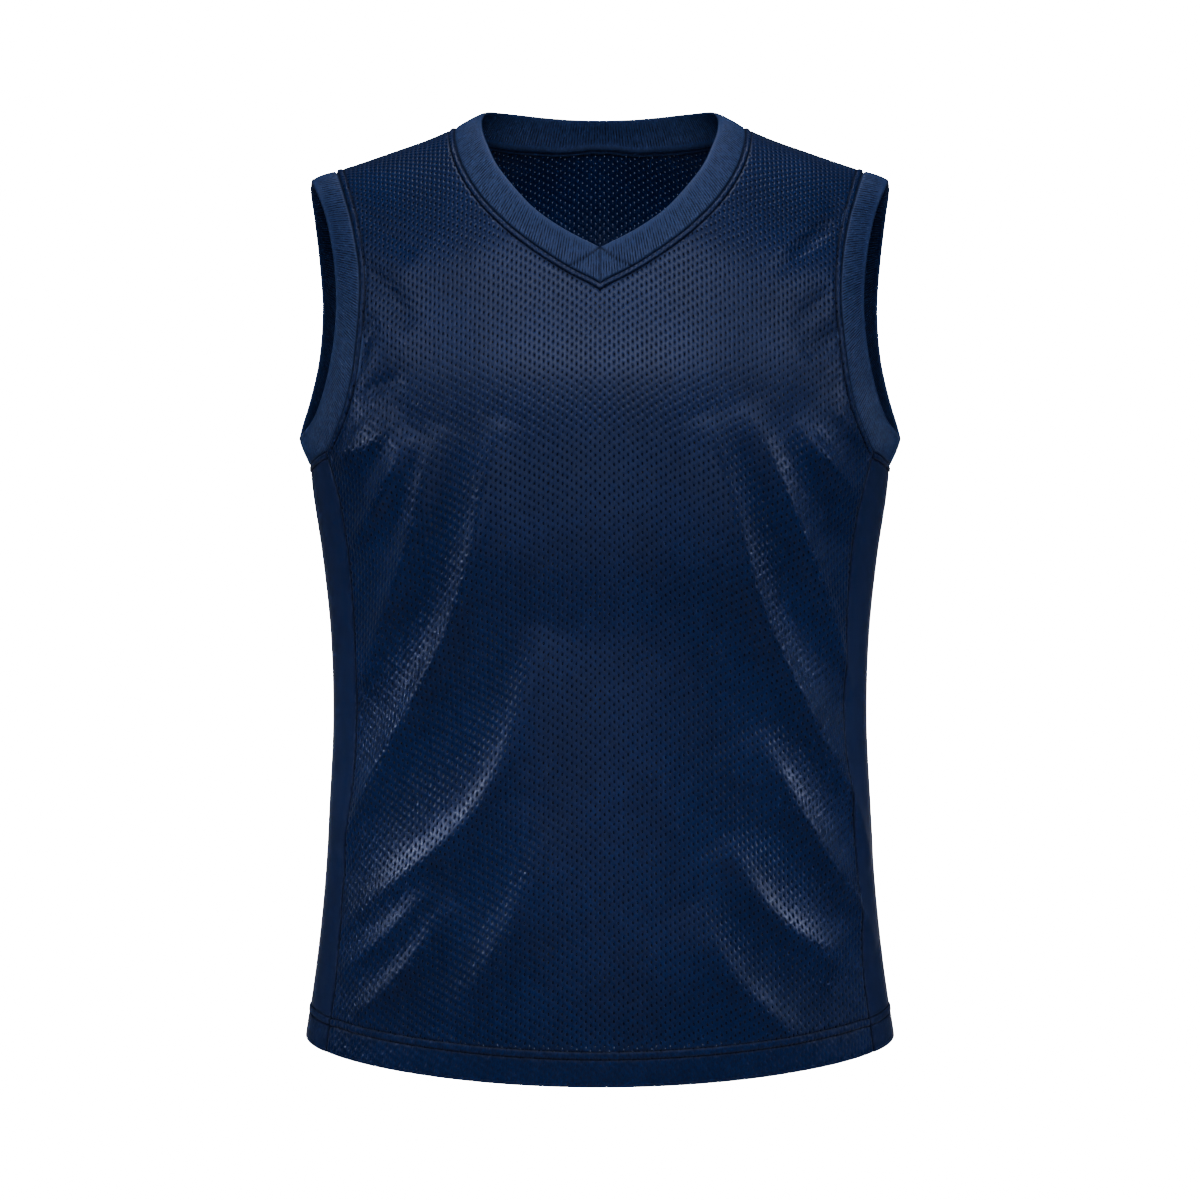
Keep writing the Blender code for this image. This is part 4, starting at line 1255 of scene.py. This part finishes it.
# studio
studio = {
    "distance": 2.6,
    "level": -0.3487,
    "lens": 102.9,
    "sensor": 36,
    "white": ((1, 1, 1), 30.0),  # what the camera sees behind the jersey
    "ambient": ((0.8, 0.88, 1), 0.07),
    "glow": ((0.35, 0.49, 1.0), 0.34),  # what shows through one wall's eyelets
    "lampDistance": 2.8,  # from the middle line, at the height that a lamp aims at
    "floorLevel": -1.4,
    "floorSize": 2.0,
    "floorShade": (0.8, 0.8, 0.8, 1),
    "floorRough": 0.7,
}
lamps = {  # bearing (0 in front, 90 on the left), elevation, size, power, aimed height, spread, own height
    "key right": (-12, 36, 0.7, 8.6, -0.35, 180, 0.7),
    "key left": (12, 36, 0.7, 8.6, -0.35, 180, 0.7),
    "wide right": (-48, 32, 0.7, 6.0, -0.35, 180, 0.7),
    "wide left": (48, 32, 0.7, 6.0, -0.35, 180, 0.7),
    "top": (0, 85, 1.2, 20, -0.35, 180, 1.2),
    "rim right": (-74, 18, 0.8, 0.34, -0.54, 13, 0.4),
    "rim left": (74, 18, 0.8, 0.31, -0.54, 13, 0.4),
    "front": (0, -2, 0.5, 0.066, -0.24, 20, 0.5),
    "collar": (0, 4, 0.3, 0.012, -0.02, 8, 0.3),
    "back right": (-162, -8, 0.7, 1.2, -0.35, 180, 0.7),
    "back left": (162, -8, 0.7, 1.2, -0.35, 180, 0.7),
    "back low": (180, -6, 0.5, 9, -0.35, 180, 0.5),
}
cameraData = bpy.data.cameras.new("camera")
cameraData.lens = studio["lens"]
cameraData.sensor_width = studio["sensor"]
camera = newObject("camera", cameraData)
camera.location = (0, -studio["distance"], studio["level"])
camera.rotation_euler = (math.radians(90), 0, 0)
bpy.context.scene.camera = camera

world = bpy.data.worlds.new("studio")
bpy.context.scene.world = world
world.use_nodes = True
tree = world.node_tree
for node in list(tree.nodes):
    tree.nodes.remove(node)
ray = tree.nodes.new("ShaderNodeLightPath")


def backdrop(name):
    colour, strength = studio[name]
    return nodeWith(tree, "ShaderNodeBackground", {"Color": (*colour, 1), "Strength": strength}).outputs[0]


# one backdrop where a camera ray has passed fewer clear walls than the limit, else the other
def seenThrough(limit, near, far):
    isNear = calc(tree, "LESS_THAN", ray.outputs["Transparent Depth"], limit)
    mixed = tree.nodes.new("ShaderNodeMixShader")
    tree.links.new(times(tree, ray.outputs["Is Camera Ray"], isNear), mixed.inputs["Fac"])
    tree.links.new(far, mixed.inputs[1])
    tree.links.new(near, mixed.inputs[2])
    return mixed.outputs[0]


behind = seenThrough(2.5, backdrop("glow"), backdrop("ambient"))
sky = seenThrough(0.5, backdrop("white"), behind)
tree.links.new(sky, tree.nodes.new("ShaderNodeOutputWorld").inputs["Surface"])

for name, (azimuth, elevation, size, power, aim, spread, high) in lamps.items():
    data = bpy.data.lights.new(name, "AREA")
    data.shape = "RECTANGLE"
    data.size, data.size_y = size, high
    data.energy = power
    data.spread = math.radians(spread)
    turn, rise = math.radians(azimuth), math.radians(elevation)
    away = Vector((math.sin(turn) * math.cos(rise), -math.cos(turn) * math.cos(rise), math.sin(rise)))
    lamp = newObject(name, data)
    lamp.location = Vector((0, 0, aim)) + away * studio["lampDistance"]
    lamp.rotation_euler = away.to_track_quat("Z", "Y").to_euler()

floorMesh = bpy.data.meshes.new("floor")
work = bmesh.new()
bmesh.ops.create_grid(work, x_segments=1, y_segments=1, size=studio["floorSize"],
                      matrix=Matrix.Translation((0, 0, studio["floorLevel"])))
work.to_mesh(floorMesh)
work.free()
floor = newObject("floor", floorMesh)
pale = bpy.data.materials.new("pale floor")
pale.use_nodes = True
paleShader = pale.node_tree.nodes["Principled BSDF"]
paleShader.inputs["Base Color"].default_value = studio["floorShade"]
paleShader.inputs["Roughness"].default_value = studio["floorRough"]
floorMesh.materials.append(pale)
print("studio made")
